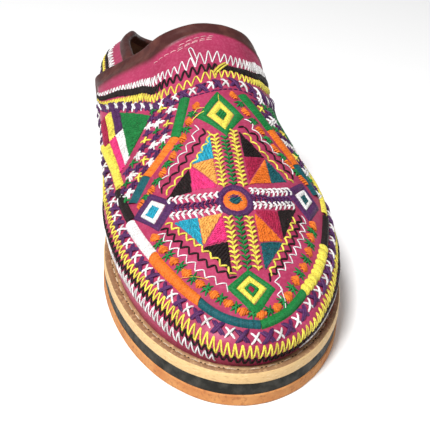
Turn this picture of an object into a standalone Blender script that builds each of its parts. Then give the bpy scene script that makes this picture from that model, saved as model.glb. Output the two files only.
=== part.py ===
"""Embroidered leather babouche slipper for a left foot.

The toe points to -Y, the inner side of the foot is -X, and the sole lies on Z = 0.
The upper follows one last: a lower wall that stands on the welt and widens to its
widest line, and above that an arch over the foot. A station is a place along the
sole's own edge, given as its Y there.
"""

import math

import bmesh
import bpy
from mathutils import Vector

# Outline of the sole
LENGTH = 0.262
BALL_WIDTH = 0.102
WAIST_INNER = 0.0405
WAIST_OUTER = 0.0425
HEEL_WIDTH = 0.077
TOE_TO_BALL = 0.086
WAIST_TO_HEEL = 0.098
HEEL_REACH = 0.045
TOE_SWING = 0.0035

# Sheets of the sole
OUTSOLE_THICK = 0.0050
RUBBER_THICK = 0.0050
WELT_THICK = 0.0049
INSOLE_THICK = 0.0015
GAP = 0.0003

# Welt's top edge
LEDGE = 0.0047
EDGE_ROUND = 0.0012
GROOVE_INSET = 0.0026
GROOVE_WIDTH = 0.0012
GROOVE_DEPTH = 0.0006

# Upper
VAMP_WALL = 0.0020
COUNTER_WALL = 0.0022
BULGE = 0.0085
COLLAR_HEIGHT = 0.081
TOE_TO_COLLAR = 0.164
COLLAR_SWEEP = 0.031
WING_RAKE = 0.006
COLLAR_BEAD = 0.0012
COUNTER_HEIGHT = 0.0585
COUNTER_DIP = 0.0180
TUCK = 0.022
TUCK_GAP = 0.0008
COUNTER_BEAD = 0.0014

TOE_Y = -LENGTH / 2
HEEL_Y = LENGTH / 2
BALL_Y = TOE_Y + TOE_TO_BALL
WAIST_Y = HEEL_Y - WAIST_TO_HEEL
HEEL_CENTRE_Y = HEEL_Y - HEEL_REACH
COLLAR_Y = TOE_Y + TOE_TO_COLLAR
WING_Y = COLLAR_Y + COLLAR_SWEEP
RUBBER_Z = OUTSOLE_THICK + GAP
WELT_Z = RUBBER_Z + RUBBER_THICK + GAP
WELT_TOP = WELT_Z + WELT_THICK
UPPER_Z = WELT_TOP + GAP
LAP = VAMP_WALL + TUCK_GAP

# Shape of the last along the foot. along: share of the toe-to-collar length. top and
# widest: heights above the welt as shares of the collar's height. bulge: share of BULGE.
# arch: power of the arch, where 2 is an ellipse and less is more pointed.
LAST_COLUMNS = ("along", "top", "widest_in", "widest_out", "bulge_in", "bulge_out", "arch_in", "arch_out")
LAST = (
    (0.000, 0.105, 0.105, 0.105, 0.30, 0.30, 2.00, 2.00),
    (0.010, 0.148, 0.106, 0.106, 0.30, 0.30, 2.00, 2.00),
    (0.040, 0.190, 0.110, 0.108, 0.30, 0.30, 1.95, 1.95),
    (0.080, 0.230, 0.115, 0.112, 0.30, 0.30, 1.85, 1.90),
    (0.137, 0.283, 0.122, 0.116, 0.30, 0.28, 1.72, 1.80),
    (0.240, 0.385, 0.145, 0.122, 0.34, 0.31, 1.56, 1.65),
    (0.368, 0.500, 0.185, 0.132, 0.41, 0.38, 1.44, 1.57),
    (0.520, 0.622, 0.235, 0.155, 0.50, 0.48, 1.36, 1.62),
    (0.671, 0.735, 0.295, 0.200, 0.64, 0.24, 1.32, 1.74),
    (0.840, 0.862, 0.400, 0.265, 0.96, -0.10, 1.27, 1.88),
    (1.000, 1.000, 0.500, 0.325, 1.00, -0.42, 1.23, 2.40),
    (1.073, 0.965, 0.525, 0.345, 0.96, -0.26, 1.23, 2.20),
    (1.165, 0.905, 0.530, 0.350, 0.90, 0.02, 1.30, 2.10),
    (1.348, 0.824, 0.480, 0.345, 0.86, 0.50, 1.75, 1.90),
    (1.598, 0.760, 0.330, 0.330, 0.30, 0.30, 2.00, 2.00),
)

# Power of the arch at the ridge, so that the ridge is round
RIDGE_POWER = 1.6
RIDGE_START = 0.55
# Power of the collar's line, which runs level over the instep and then sweeps back
COLLAR_CURVE = 3.2
# Power of the dip in the counter's rim, which lies mostly at the back of the heel
DIP_CURVE = 3.0
# Short step for measuring slopes
PROBE = 0.0005


def smoothstep(share):
    share = min(max(share, 0.0), 1.0)
    return share * share * (3 - 2 * share)


def last_value(station, name):
    """Smooth curve through one column of LAST, evened out by a square root at the toe."""
    share = (station - TOE_Y) / TOE_TO_COLLAR
    column = LAST_COLUMNS.index(name)
    xs = [math.sqrt(row[0]) for row in LAST]
    ys = [row[column] for row in LAST]
    x = min(max(math.sqrt(max(share, 0.0)), xs[0]), xs[-1])
    last = len(xs) - 1
    k = 0
    while k < last - 1 and x > xs[k + 1]:
        k += 1
    slopes = []
    for i in (k, k + 1):
        before = (ys[i] - ys[i - 1]) / (xs[i] - xs[i - 1]) if i > 0 else None
        after = (ys[i + 1] - ys[i]) / (xs[i + 1] - xs[i]) if i < last else None
        if before is None or after is None:
            slopes.append(after if before is None else before)
        elif before * after <= 0:
            slopes.append(0.0)
        else:
            slopes.append(2 * before * after / (before + after))
    step = xs[k + 1] - xs[k]
    t = (x - xs[k]) / step
    return (
        ys[k] * (1 + 2 * t) * (1 - t) ** 2
        + slopes[0] * step * t * (1 - t) ** 2
        + ys[k + 1] * t * t * (3 - 2 * t)
        + slopes[1] * step * t * t * (t - 1)
    )


def inner_or_outer(name, side):
    return name + ("_in" if side < 0 else "_out")


def centre_x(station):
    ahead = max(BALL_Y - station, 0.0) / TOE_TO_BALL
    return -TOE_SWING * ahead ** 2


def level(station, side, inset):
    """Point of the sole's outline, drawn in by the inset. side is -1 inner, +1 outer."""
    ball = BALL_WIDTH / 2
    heel = HEEL_WIDTH / 2
    waist = WAIST_INNER if side < 0 else WAIST_OUTER
    if station <= BALL_Y:
        share = min((BALL_Y - station) / TOE_TO_BALL, 1.0)
        x = (ball - inset) * math.sqrt(1 - share ** 2)
        y = BALL_Y - (TOE_TO_BALL - inset) * share
    elif station >= HEEL_CENTRE_Y:
        share = min((station - HEEL_CENTRE_Y) / HEEL_REACH, 1.0)
        x = (heel - inset) * math.sqrt(1 - share ** 2)
        y = HEEL_CENTRE_Y + (HEEL_REACH - inset) * share
    elif station <= WAIST_Y:
        share = smoothstep((station - BALL_Y) / (WAIST_Y - BALL_Y))
        x = ball + (waist - ball) * share - inset
        y = station
    else:
        share = smoothstep((station - WAIST_Y) / (HEEL_CENTRE_Y - WAIST_Y))
        x = waist + (heel - waist) * share - inset
        y = station
    return side * x + centre_x(station), y


def lap_share(station):
    """How far the vamp's wings have opened out to lie over the counter."""
    start = WING_Y - 3.4 * TUCK
    return smoothstep((station - start) / (2.2 * TUCK))


def ledge(station):
    return LEDGE - LAP * lap_share(station)


def widest_z(station, side):
    return WELT_TOP + COLLAR_HEIGHT * last_value(station, inner_or_outer("widest", side))


def top_z(station):
    return WELT_TOP + COLLAR_HEIGHT * last_value(station, "top")


def bulge(station, side):
    return BULGE * last_value(station, inner_or_outer("bulge", side))


def arch_power(station, side):
    return last_value(station, inner_or_outer("arch", side))


def wall_point(station, side, rise):
    """Lower wall of the last. rise is 0 on the welt and 1 on the widest line."""
    out = bulge(station, side) * math.sin(math.pi / 2 * min(rise, 1.0))
    x, y = level(station, side, ledge(station) - out)
    z = UPPER_Z + rise * (widest_z(station, side) - UPPER_Z)
    return Vector((x, y, z))


def across_share(station, side, up):
    """Half width of the arch at a share of its height, rounder towards the ridge."""
    power = arch_power(station, side)
    power += max(RIDGE_POWER - power, 0.0) * smoothstep((up - RIDGE_START) / (1 - RIDGE_START))
    return max(1 - up ** power, 0.0) ** (1 / power)


def arch_point(station, angle):
    """Arch of the last. angle is 0 at the inner widest line, pi at the outer one."""
    side = -1 if angle < math.pi / 2 else 1
    foot = wall_point(station, side, 1.0)
    middle = centre_x(station)
    up = max(math.sin(angle), 0.0) ** (2 / arch_power(station, side))
    across = across_share(station, side, up)
    height = top_z(station) - foot.z
    return Vector((middle + (foot.x - middle) * across, foot.y, foot.z + height * up))


def heel_point(station, side, height):
    """Point of the last behind the collar, at a height above the floor."""
    widest = widest_z(station, side)
    if height <= widest:
        return wall_point(station, side, (height - UPPER_Z) / (widest - UPPER_Z))
    up = min((height - widest) / (top_z(station) - widest), 1.0)
    half = abs(wall_point(min(station, HEEL_CENTRE_Y), side, 1.0).x)
    lean = half * (1 - across_share(station, side, up))
    x, y = level(station, side, ledge(station) - bulge(station, side) + lean)
    return Vector((x, y, height))


def new_object(name, bm, material, sharp=35):
    """Close the mesh up, turn its faces out and give it its material."""
    bmesh.ops.remove_doubles(bm, verts=bm.verts, dist=1e-6)
    bmesh.ops.recalc_face_normals(bm, faces=bm.faces)
    if bm.calc_volume(signed=True) < 0:
        bmesh.ops.reverse_faces(bm, faces=bm.faces)
    mesh = bpy.data.meshes.new(name)
    bm.to_mesh(mesh)
    bm.free()
    mesh.shade_smooth()
    mesh.set_sharp_from_angle(angle=math.radians(sharp))
    mesh.materials.append(material)
    obj = bpy.data.objects.new(name, mesh)
    bpy.context.collection.objects.link(obj)
    return obj


def outline_stations(count):
    """Stations from toe to heel, closer together round both ends."""
    return [-math.cos(math.pi * k / count) * LENGTH / 2 for k in range(count + 1)]


def outline(inset, count=44):
    """Closed ring of points: up the outer side, then back along the inner side."""
    stations = outline_stations(count)
    ring = [level(s, 1, inset) for s in stations]
    ring += [level(s, -1, inset) for s in reversed(stations[1:-1])]
    return ring


def stack_rings(name, rings, material, sharp=35):
    """Solid through closed rings of equal point count, capped at both ends."""
    bm = bmesh.new()
    rows = [[bm.verts.new((x, y, z)) for x, y in ring] for ring, z in rings]
    count = len(rows[0])
    for lower, upper in zip(rows, rows[1:]):
        for k in range(count):
            n = (k + 1) % count
            bm.faces.new((lower[k], lower[n], upper[n], upper[k]))
    bm.faces.new(list(reversed(rows[0])))
    bm.faces.new(rows[-1])
    return new_object(name, bm, material, sharp)


def rolled_edge(distance, wall, bead):
    """Outer and inner shift of a wall near its rolled edge, measured off the last."""
    radius = (wall + bead) / 2
    if distance < radius:
        half = radius * math.sqrt(1 - (1 - distance / radius) ** 2)
        middle = (bead - wall) / 2
        return middle + half, middle - half
    fade = 1 - smoothstep((distance - radius) / (2 * radius))
    return bead * fade, -wall


ROLL_ROWS = (3.0, 1.8, 1.0, 0.5, 0.13, 0.0)


def leather_shell(name, grid, shifts, material):
    """Closed shell of leather. grid[row][column] lies on the last.

    shifts[row][column] gives how far the outer and the inner face lie off the last,
    along its normal. Where the two are equal the faces meet in one edge.
    """
    bm = bmesh.new()
    outer_shift = bm.verts.layers.float.new("outer")
    inner_shift = bm.verts.layers.float.new("inner")
    rows = []
    for points, row_shifts in zip(grid, shifts):
        row = []
        for point, (out, back) in zip(points, row_shifts):
            vert = bm.verts.new(point)
            vert[outer_shift] = out
            vert[inner_shift] = back
            row.append(vert)
        rows.append(row)
    for lower, upper in zip(rows, rows[1:]):
        for k in range(len(lower) - 1):
            bm.faces.new((lower[k], lower[k + 1], upper[k + 1], upper[k]))
    bmesh.ops.remove_doubles(bm, verts=bm.verts, dist=1e-6)
    bmesh.ops.recalc_face_normals(bm, faces=bm.faces)
    highest = max(bm.faces, key=lambda face: face.calc_center_median().z)
    if highest.normal.z < 0:
        bmesh.ops.reverse_faces(bm, faces=bm.faces)
    bm.normal_update()
    faces = list(bm.faces)
    rim = [edge for edge in bm.edges if edge.is_boundary]
    partner = {}
    for vert in list(bm.verts):
        normal = vert.normal.copy()
        if vert.co.z < UPPER_Z + 1e-5:
            normal.z = 0
            normal.normalize()
        partner[vert] = bm.verts.new(vert.co + normal * vert[inner_shift])
        vert.co += normal * vert[outer_shift]
    for face in faces:
        bm.faces.new([partner[vert] for vert in reversed(face.verts)])
    for edge in rim:
        loop = edge.link_loops[0]
        start = loop.vert
        end = loop.link_loop_next.vert
        quad = [end, start, partner[start], partner[end]]
        meets = [(v.co - partner[v].co).length < 1e-6 for v in (start, end)]
        if all(meets):
            continue
        if meets[0]:
            quad = [end, start, partner[end]]
        elif meets[1]:
            quad = [end, start, partner[start]]
        bm.faces.new(quad)
    return new_object(name, bm, material)


VAMP_RISES = (0.0, 0.35, 0.70)
ARCH_STEPS = 26
VAMP_ROWS = 24


def vamp_columns():
    """Columns of the vamp from the inner welt line over the foot to the outer one."""
    inner = [("wall", -1, rise) for rise in VAMP_RISES]
    arch = [("arch", 0, math.pi * k / ARCH_STEPS) for k in range(ARCH_STEPS + 1)]
    outer = [("wall", 1, rise) for rise in reversed(VAMP_RISES)]
    return inner + arch + outer


def vamp_point(column, station):
    kind, side, value = column
    if kind == "wall":
        return wall_point(station, side, value)
    return arch_point(station, value)


def vamp_end(column):
    """Station where a column meets the collar or the back edge of a wing."""
    kind, _, value = column
    if kind == "wall":
        return WING_Y + WING_RAKE * (1 - value)
    return COLLAR_Y + COLLAR_SWEEP * abs(math.cos(value)) ** COLLAR_CURVE


def make_vamp(material):
    columns = vamp_columns()
    ends = [vamp_end(column) for column in columns]
    edge = [vamp_point(column, end) for column, end in zip(columns, ends)]
    grid_columns = []
    shift_columns = []
    for j, column in enumerate(columns):
        before = edge[max(j - 1, 0)]
        after = edge[min(j + 1, len(edge) - 1)]
        tangent = (after - before).normalized()
        step = (edge[j] - vamp_point(column, ends[j] - PROBE)) / PROBE
        stretch = 1 / (step - tangent * step.dot(tangent)).length
        if column[0] == "arch":
            bead = COLLAR_BEAD
        else:
            bead = COLLAR_BEAD * column[2]
        radius = (VAMP_WALL + bead) / 2
        body_end = ends[j] - ROLL_ROWS[0] * radius * stretch
        points = []
        shifts = []
        for k in range(VAMP_ROWS):
            share = (k / VAMP_ROWS) ** 1.75
            points.append(vamp_point(column, TOE_Y + (body_end - TOE_Y) * share))
            shifts.append((0.0, -VAMP_WALL))
        for row in ROLL_ROWS:
            distance = row * radius
            points.append(vamp_point(column, ends[j] - distance * stretch))
            shifts.append(rolled_edge(distance, VAMP_WALL, bead))
        grid_columns.append(points)
        shift_columns.append(shifts)
    grid = [list(row) for row in zip(*grid_columns)]
    shifts = [list(row) for row in zip(*shift_columns)]
    return leather_shell("upper_vamp", grid, shifts, material)


COUNTER_RISES = (0.0, 0.16, 0.34, 0.52, 0.70, 0.86, 1.0)


def counter_rim_z(station):
    """Height of the counter's top edge, which dips at the back of the heel."""
    round_heel = min(max(station - HEEL_CENTRE_Y, 0.0) / HEEL_REACH, 1.0)
    return WELT_TOP + COUNTER_HEIGHT - COUNTER_DIP * round_heel ** DIP_CURVE


def make_counter(material):
    front = WING_Y - TUCK
    side_steps = 9
    turn_steps = 11
    stations = [front + (HEEL_CENTRE_Y - front) * k / side_steps for k in range(side_steps)]
    for k in range(turn_steps + 1):
        turn = math.sin(math.pi / 2 * k / turn_steps)
        stations.append(HEEL_CENTRE_Y + HEEL_REACH * turn)
    path = [(s, -1) for s in stations] + [(s, 1) for s in reversed(stations[:-1])]
    grid_columns = []
    shift_columns = []
    for station, side in path:
        bead = COUNTER_BEAD * smoothstep((station - WING_Y + 0.3 * TUCK) / (0.5 * TUCK))
        radius = (COUNTER_WALL + bead) / 2
        rim = counter_rim_z(station)
        edge = heel_point(station, side, rim)
        below = heel_point(station, side, rim - PROBE)
        stretch = PROBE / (edge - below).length
        body_top = rim - ROLL_ROWS[0] * radius * stretch
        points = []
        shifts = []
        for rise in COUNTER_RISES:
            height = UPPER_Z + (body_top - UPPER_Z) * rise
            points.append(heel_point(station, side, height))
            shifts.append((-LAP, -LAP - COUNTER_WALL))
        for row in ROLL_ROWS[1:]:
            distance = row * radius
            out, back = rolled_edge(distance, COUNTER_WALL, bead)
            points.append(heel_point(station, side, rim - distance * stretch))
            shifts.append((out - LAP, back - LAP))
        grid_columns.append(points)
        shift_columns.append(shifts)
    grid = [list(row) for row in zip(*grid_columns)]
    shifts = [list(row) for row in zip(*shift_columns)]
    return leather_shell("upper_counter", grid, shifts, material)


def make_sheet(name, bottom, thick, material):
    ring = outline(0.0)
    return stack_rings(name, [(ring, bottom), (ring, bottom + thick)], material)


def make_welt(material):
    """Tan leather layer with a rounded top edge and a shallow stitching groove."""
    top = WELT_TOP
    middle = GROOVE_INSET + GROOVE_WIDTH / 2
    rings = [
        (outline(0.0), WELT_Z),
        (outline(0.0), top - EDGE_ROUND),
        (outline(EDGE_ROUND * 0.3), top - EDGE_ROUND * 0.3),
        (outline(EDGE_ROUND), top),
        (outline(GROOVE_INSET), top),
        (outline(middle), top - GROOVE_DEPTH),
        (outline(GROOVE_INSET + GROOVE_WIDTH), top),
    ]
    return stack_rings("welt", rings, material)


def insole_inset(station):
    """Clear of the vamp's wall, and of the counter's wall inside it."""
    behind = (COUNTER_WALL + TUCK_GAP) * lap_share(station)
    return ledge(station) + VAMP_WALL + 2 * GAP + behind


def make_insole(material):
    stations = outline_stations(44)
    ring = [level(s, 1, insole_inset(s)) for s in stations]
    ring += [level(s, -1, insole_inset(s)) for s in reversed(stations[1:-1])]
    bottom = WELT_TOP + GAP
    return stack_rings("insole", [(ring, bottom), (ring, bottom + INSOLE_THICK)], material)


def leather(name, colour, roughness):
    material = bpy.data.materials.new(name)
    material.use_nodes = True
    shader = material.node_tree.nodes["Principled BSDF"]
    shader.inputs["Base Color"].default_value = (*colour, 1.0)
    shader.inputs["Roughness"].default_value = roughness
    shader.inputs["Metallic"].default_value = 0.0
    return material


def main():
    for obj in list(bpy.data.objects):
        bpy.data.objects.remove(obj, do_unlink=True)
    crepe = leather("crepe", (0.50, 0.20, 0.08), 0.9)
    rubber = leather("rubber", (0.03, 0.03, 0.025), 0.7)
    tan = leather("tan_leather", (0.66, 0.45, 0.24), 0.75)
    lining = leather("lining_leather", (0.42, 0.28, 0.17), 0.75)
    pink = leather("pink_leather", (0.42, 0.05, 0.16), 0.5)
    make_sheet("outsole", 0.0, OUTSOLE_THICK, crepe)
    make_sheet("midsole", RUBBER_Z, RUBBER_THICK, rubber)
    make_welt(tan)
    make_insole(lining)
    make_vamp(pink)
    make_counter(pink)


main()
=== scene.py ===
"""Looks of an embroidered leather babouche slipper, built round its CAD solids.

Everything is in metres, in the CAD frame: the toe points to -Y, the inner side of the
foot is -X, and the sole lies on Z = 0. The leather follows the same last as the solids.
The embroidery is laid on it as threads, stitch by stitch, from small tables in
thousandths of a metre that say where each motif lies on the leather.
"""

import math
from functools import lru_cache

import bpy
import numpy as np
from mathutils import Matrix, Vector, noise
from mathutils.bvhtree import BVHTree


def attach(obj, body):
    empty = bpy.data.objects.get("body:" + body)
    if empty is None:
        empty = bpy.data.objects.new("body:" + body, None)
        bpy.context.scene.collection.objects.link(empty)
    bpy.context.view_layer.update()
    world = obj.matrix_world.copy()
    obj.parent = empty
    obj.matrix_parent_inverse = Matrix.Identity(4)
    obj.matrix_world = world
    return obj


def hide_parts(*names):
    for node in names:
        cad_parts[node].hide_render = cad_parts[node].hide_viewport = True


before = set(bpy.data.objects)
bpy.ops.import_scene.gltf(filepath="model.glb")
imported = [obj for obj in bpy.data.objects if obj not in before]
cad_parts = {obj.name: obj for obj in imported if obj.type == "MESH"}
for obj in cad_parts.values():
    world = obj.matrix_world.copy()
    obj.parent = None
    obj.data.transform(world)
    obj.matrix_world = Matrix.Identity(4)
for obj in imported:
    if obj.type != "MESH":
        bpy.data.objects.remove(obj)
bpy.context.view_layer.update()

# Sizes of the shoe, the same as in the CAD source
LENGTH = 0.262
BALL_WIDTH = 0.102
WAIST_INNER = 0.0405
WAIST_OUTER = 0.0425
HEEL_WIDTH = 0.077
TOE_TO_BALL = 0.086
WAIST_TO_HEEL = 0.098
HEEL_REACH = 0.045
TOE_SWING = 0.0035
OUTSOLE_THICK = 0.0050
RUBBER_THICK = 0.0050
WELT_THICK = 0.0049
GAP = 0.0003
LEDGE = 0.0047
EDGE_ROUND = 0.0012
GROOVE_INSET = 0.0026
GROOVE_WIDTH = 0.0012
GROOVE_DEPTH = 0.0006
VAMP_WALL = 0.0020
COUNTER_WALL = 0.0022
BULGE = 0.0085
COLLAR_HEIGHT = 0.081
TOE_TO_COLLAR = 0.164
COLLAR_SWEEP = 0.031
WING_RAKE = 0.006
COLLAR_BEAD = 0.0012
COUNTER_HEIGHT = 0.0585
COUNTER_DIP = 0.0180
TUCK = 0.022
TUCK_GAP = 0.0008
COUNTER_BEAD = 0.0014
RIDGE_POWER = 1.6
RIDGE_START = 0.55
COLLAR_CURVE = 3.2
DIP_CURVE = 3.0
PROBE = 0.0005

TOE_Y = -LENGTH / 2
HEEL_Y = LENGTH / 2
BALL_Y = TOE_Y + TOE_TO_BALL
WAIST_Y = HEEL_Y - WAIST_TO_HEEL
HEEL_CENTRE_Y = HEEL_Y - HEEL_REACH
COLLAR_Y = TOE_Y + TOE_TO_COLLAR
WING_Y = COLLAR_Y + COLLAR_SWEEP
RUBBER_Z = OUTSOLE_THICK + GAP
WELT_Z = RUBBER_Z + RUBBER_THICK + GAP
WELT_TOP = WELT_Z + WELT_THICK
UPPER_Z = WELT_TOP + GAP
LAP = VAMP_WALL + TUCK_GAP

# Shape of the last, the same table as in the CAD source
LAST_COLUMNS = (
    "along", "top", "widest_in", "widest_out", "bulge_in", "bulge_out", "arch_in", "arch_out",
)
LAST = (
    (0.000, 0.105, 0.105, 0.105, 0.30, 0.30, 2.00, 2.00),
    (0.010, 0.148, 0.106, 0.106, 0.30, 0.30, 2.00, 2.00),
    (0.040, 0.190, 0.110, 0.108, 0.30, 0.30, 1.95, 1.95),
    (0.080, 0.230, 0.115, 0.112, 0.30, 0.30, 1.85, 1.90),
    (0.137, 0.283, 0.122, 0.116, 0.30, 0.28, 1.72, 1.80),
    (0.240, 0.385, 0.145, 0.122, 0.34, 0.31, 1.56, 1.65),
    (0.368, 0.500, 0.185, 0.132, 0.41, 0.38, 1.44, 1.57),
    (0.520, 0.622, 0.235, 0.155, 0.50, 0.48, 1.36, 1.62),
    (0.671, 0.735, 0.295, 0.200, 0.64, 0.24, 1.32, 1.74),
    (0.840, 0.862, 0.400, 0.265, 0.96, -0.10, 1.27, 1.88),
    (1.000, 1.000, 0.500, 0.325, 1.00, -0.42, 1.23, 2.40),
    (1.073, 0.965, 0.525, 0.345, 0.96, -0.26, 1.23, 2.20),
    (1.165, 0.905, 0.530, 0.350, 0.90, 0.02, 1.30, 2.10),
    (1.348, 0.824, 0.480, 0.345, 0.86, 0.50, 1.75, 1.90),
    (1.598, 0.760, 0.330, 0.330, 0.30, 0.30, 2.00, 2.00),
)

# Camera: its place, its tilt, and how far it turns to hold this one shoe in the frame
IMAGE_SIZE = 430
FOCAL_PIXELS = 1081.4
SENSOR_MM = 36.0
CAMERA_AT = Vector((-0.0884, -0.4517, 0.2607))
CAMERA_RIGHT = Vector((0.9956, -0.0936, 0.0093))
CAMERA_UP = Vector((0.0382, 0.4920, 0.8697))
AIM_RIGHT_PIXELS = 103.0
AIM_DOWN_PIXELS = -20.0

MM = 0.001
TINY = 1e-12
TINY_RISE = 1e-6
DICE = np.random.default_rng(11)


def smoothstep(share):
    share = min(max(share, 0.0), 1.0)
    return share * share * (3 - 2 * share)


@lru_cache(maxsize=None)
def last_value(station, name):
    """Smooth curve through one column of LAST, evened out by a square root at the toe."""
    share = (station - TOE_Y) / TOE_TO_COLLAR
    column = LAST_COLUMNS.index(name)
    xs = [math.sqrt(row[0]) for row in LAST]
    ys = [row[column] for row in LAST]
    x = min(max(math.sqrt(max(share, 0.0)), xs[0]), xs[-1])
    last = len(xs) - 1
    k = 0
    while k < last - 1 and x > xs[k + 1]:
        k += 1
    slopes = []
    for i in (k, k + 1):
        before = (ys[i] - ys[i - 1]) / (xs[i] - xs[i - 1]) if i > 0 else None
        after = (ys[i + 1] - ys[i]) / (xs[i + 1] - xs[i]) if i < last else None
        if before is None or after is None:
            slopes.append(after if before is None else before)
        elif before * after <= 0:
            slopes.append(0.0)
        else:
            slopes.append(2 * before * after / (before + after))
    step = xs[k + 1] - xs[k]
    t = (x - xs[k]) / step
    return (
        ys[k] * (1 + 2 * t) * (1 - t) ** 2
        + slopes[0] * step * t * (1 - t) ** 2
        + ys[k + 1] * t * t * (3 - 2 * t)
        + slopes[1] * step * t * t * (t - 1)
    )


def inner_or_outer(name, side):
    return name + ("_in" if side < 0 else "_out")


def centre_x(station):
    ahead = max(BALL_Y - station, 0.0) / TOE_TO_BALL
    return -TOE_SWING * ahead ** 2


def level(station, side, inset):
    """Point of the sole's outline, drawn in by the inset. side is -1 inner, +1 outer."""
    ball = BALL_WIDTH / 2
    heel = HEEL_WIDTH / 2
    waist = WAIST_INNER if side < 0 else WAIST_OUTER
    if station <= BALL_Y:
        share = min((BALL_Y - station) / TOE_TO_BALL, 1.0)
        x = (ball - inset) * math.sqrt(1 - share ** 2)
        y = BALL_Y - (TOE_TO_BALL - inset) * share
    elif station >= HEEL_CENTRE_Y:
        share = min((station - HEEL_CENTRE_Y) / HEEL_REACH, 1.0)
        x = (heel - inset) * math.sqrt(1 - share ** 2)
        y = HEEL_CENTRE_Y + (HEEL_REACH - inset) * share
    elif station <= WAIST_Y:
        share = smoothstep((station - BALL_Y) / (WAIST_Y - BALL_Y))
        x = ball + (waist - ball) * share - inset
        y = station
    else:
        share = smoothstep((station - WAIST_Y) / (HEEL_CENTRE_Y - WAIST_Y))
        x = waist + (heel - waist) * share - inset
        y = station
    return side * x + centre_x(station), y


def lap_share(station):
    """How far the vamp's wings have opened out to lie over the counter."""
    start = WING_Y - 3.4 * TUCK
    return smoothstep((station - start) / (2.2 * TUCK))


def ledge(station):
    return LEDGE - LAP * lap_share(station)


def widest_z(station, side):
    return WELT_TOP + COLLAR_HEIGHT * last_value(station, inner_or_outer("widest", side))


def top_z(station):
    return WELT_TOP + COLLAR_HEIGHT * last_value(station, "top")


def bulge(station, side):
    return BULGE * last_value(station, inner_or_outer("bulge", side))


def arch_power(station, side):
    return last_value(station, inner_or_outer("arch", side))


def wall_point(station, side, rise):
    """Lower wall of the last. rise is 0 on the welt and 1 on the widest line."""
    out = bulge(station, side) * math.sin(math.pi / 2 * min(rise, 1.0))
    x, y = level(station, side, ledge(station) - out)
    z = UPPER_Z + rise * (widest_z(station, side) - UPPER_Z)
    return Vector((x, y, z))


def across_share(station, side, up):
    """Half width of the arch at a share of its height, rounder towards the ridge."""
    power = arch_power(station, side)
    power += max(RIDGE_POWER - power, 0.0) * smoothstep((up - RIDGE_START) / (1 - RIDGE_START))
    return max(1 - up ** power, 0.0) ** (1 / power)


def arch_point(station, angle):
    """Arch of the last. angle is 0 at the inner widest line, pi at the outer one."""
    side = -1 if angle < math.pi / 2 else 1
    foot = wall_point(station, side, 1.0)
    middle = centre_x(station)
    up = max(math.sin(angle), 0.0) ** (2 / arch_power(station, side))
    across = across_share(station, side, up)
    height = top_z(station) - foot.z
    return Vector((middle + (foot.x - middle) * across, foot.y, foot.z + height * up))


def heel_point(station, side, height):
    """Point of the last behind the collar, at a height above the floor."""
    widest = widest_z(station, side)
    if height <= widest:
        return wall_point(station, side, (height - UPPER_Z) / (widest - UPPER_Z))
    up = min((height - widest) / (top_z(station) - widest), 1.0)
    half = abs(wall_point(min(station, HEEL_CENTRE_Y), side, 1.0).x)
    lean = half * (1 - across_share(station, side, up))
    x, y = level(station, side, ledge(station) - bulge(station, side) + lean)
    return Vector((x, y, height))


def counter_rim_z(station):
    """Height of the counter's top edge, which dips at the back of the heel."""
    round_heel = min(max(station - HEEL_CENTRE_Y, 0.0) / HEEL_REACH, 1.0)
    return WELT_TOP + COUNTER_HEIGHT - COUNTER_DIP * round_heel ** DIP_CURVE


def between(table, at, column=1):
    """Value of a table's column at a place, straight between its rows."""
    return float(np.interp(at, [row[0] for row in table], [row[column] for row in table]))


def arc_lengths(points):
    """Length along a row of points, up to each of them."""
    return np.r_[0, np.cumsum(np.linalg.norm(np.diff(points, axis=0), axis=1))]


def unit_rows(vectors):
    """The same vectors with a length of one."""
    return vectors / np.maximum(np.linalg.norm(vectors, axis=-1, keepdims=True), TINY)


# Materials


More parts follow.
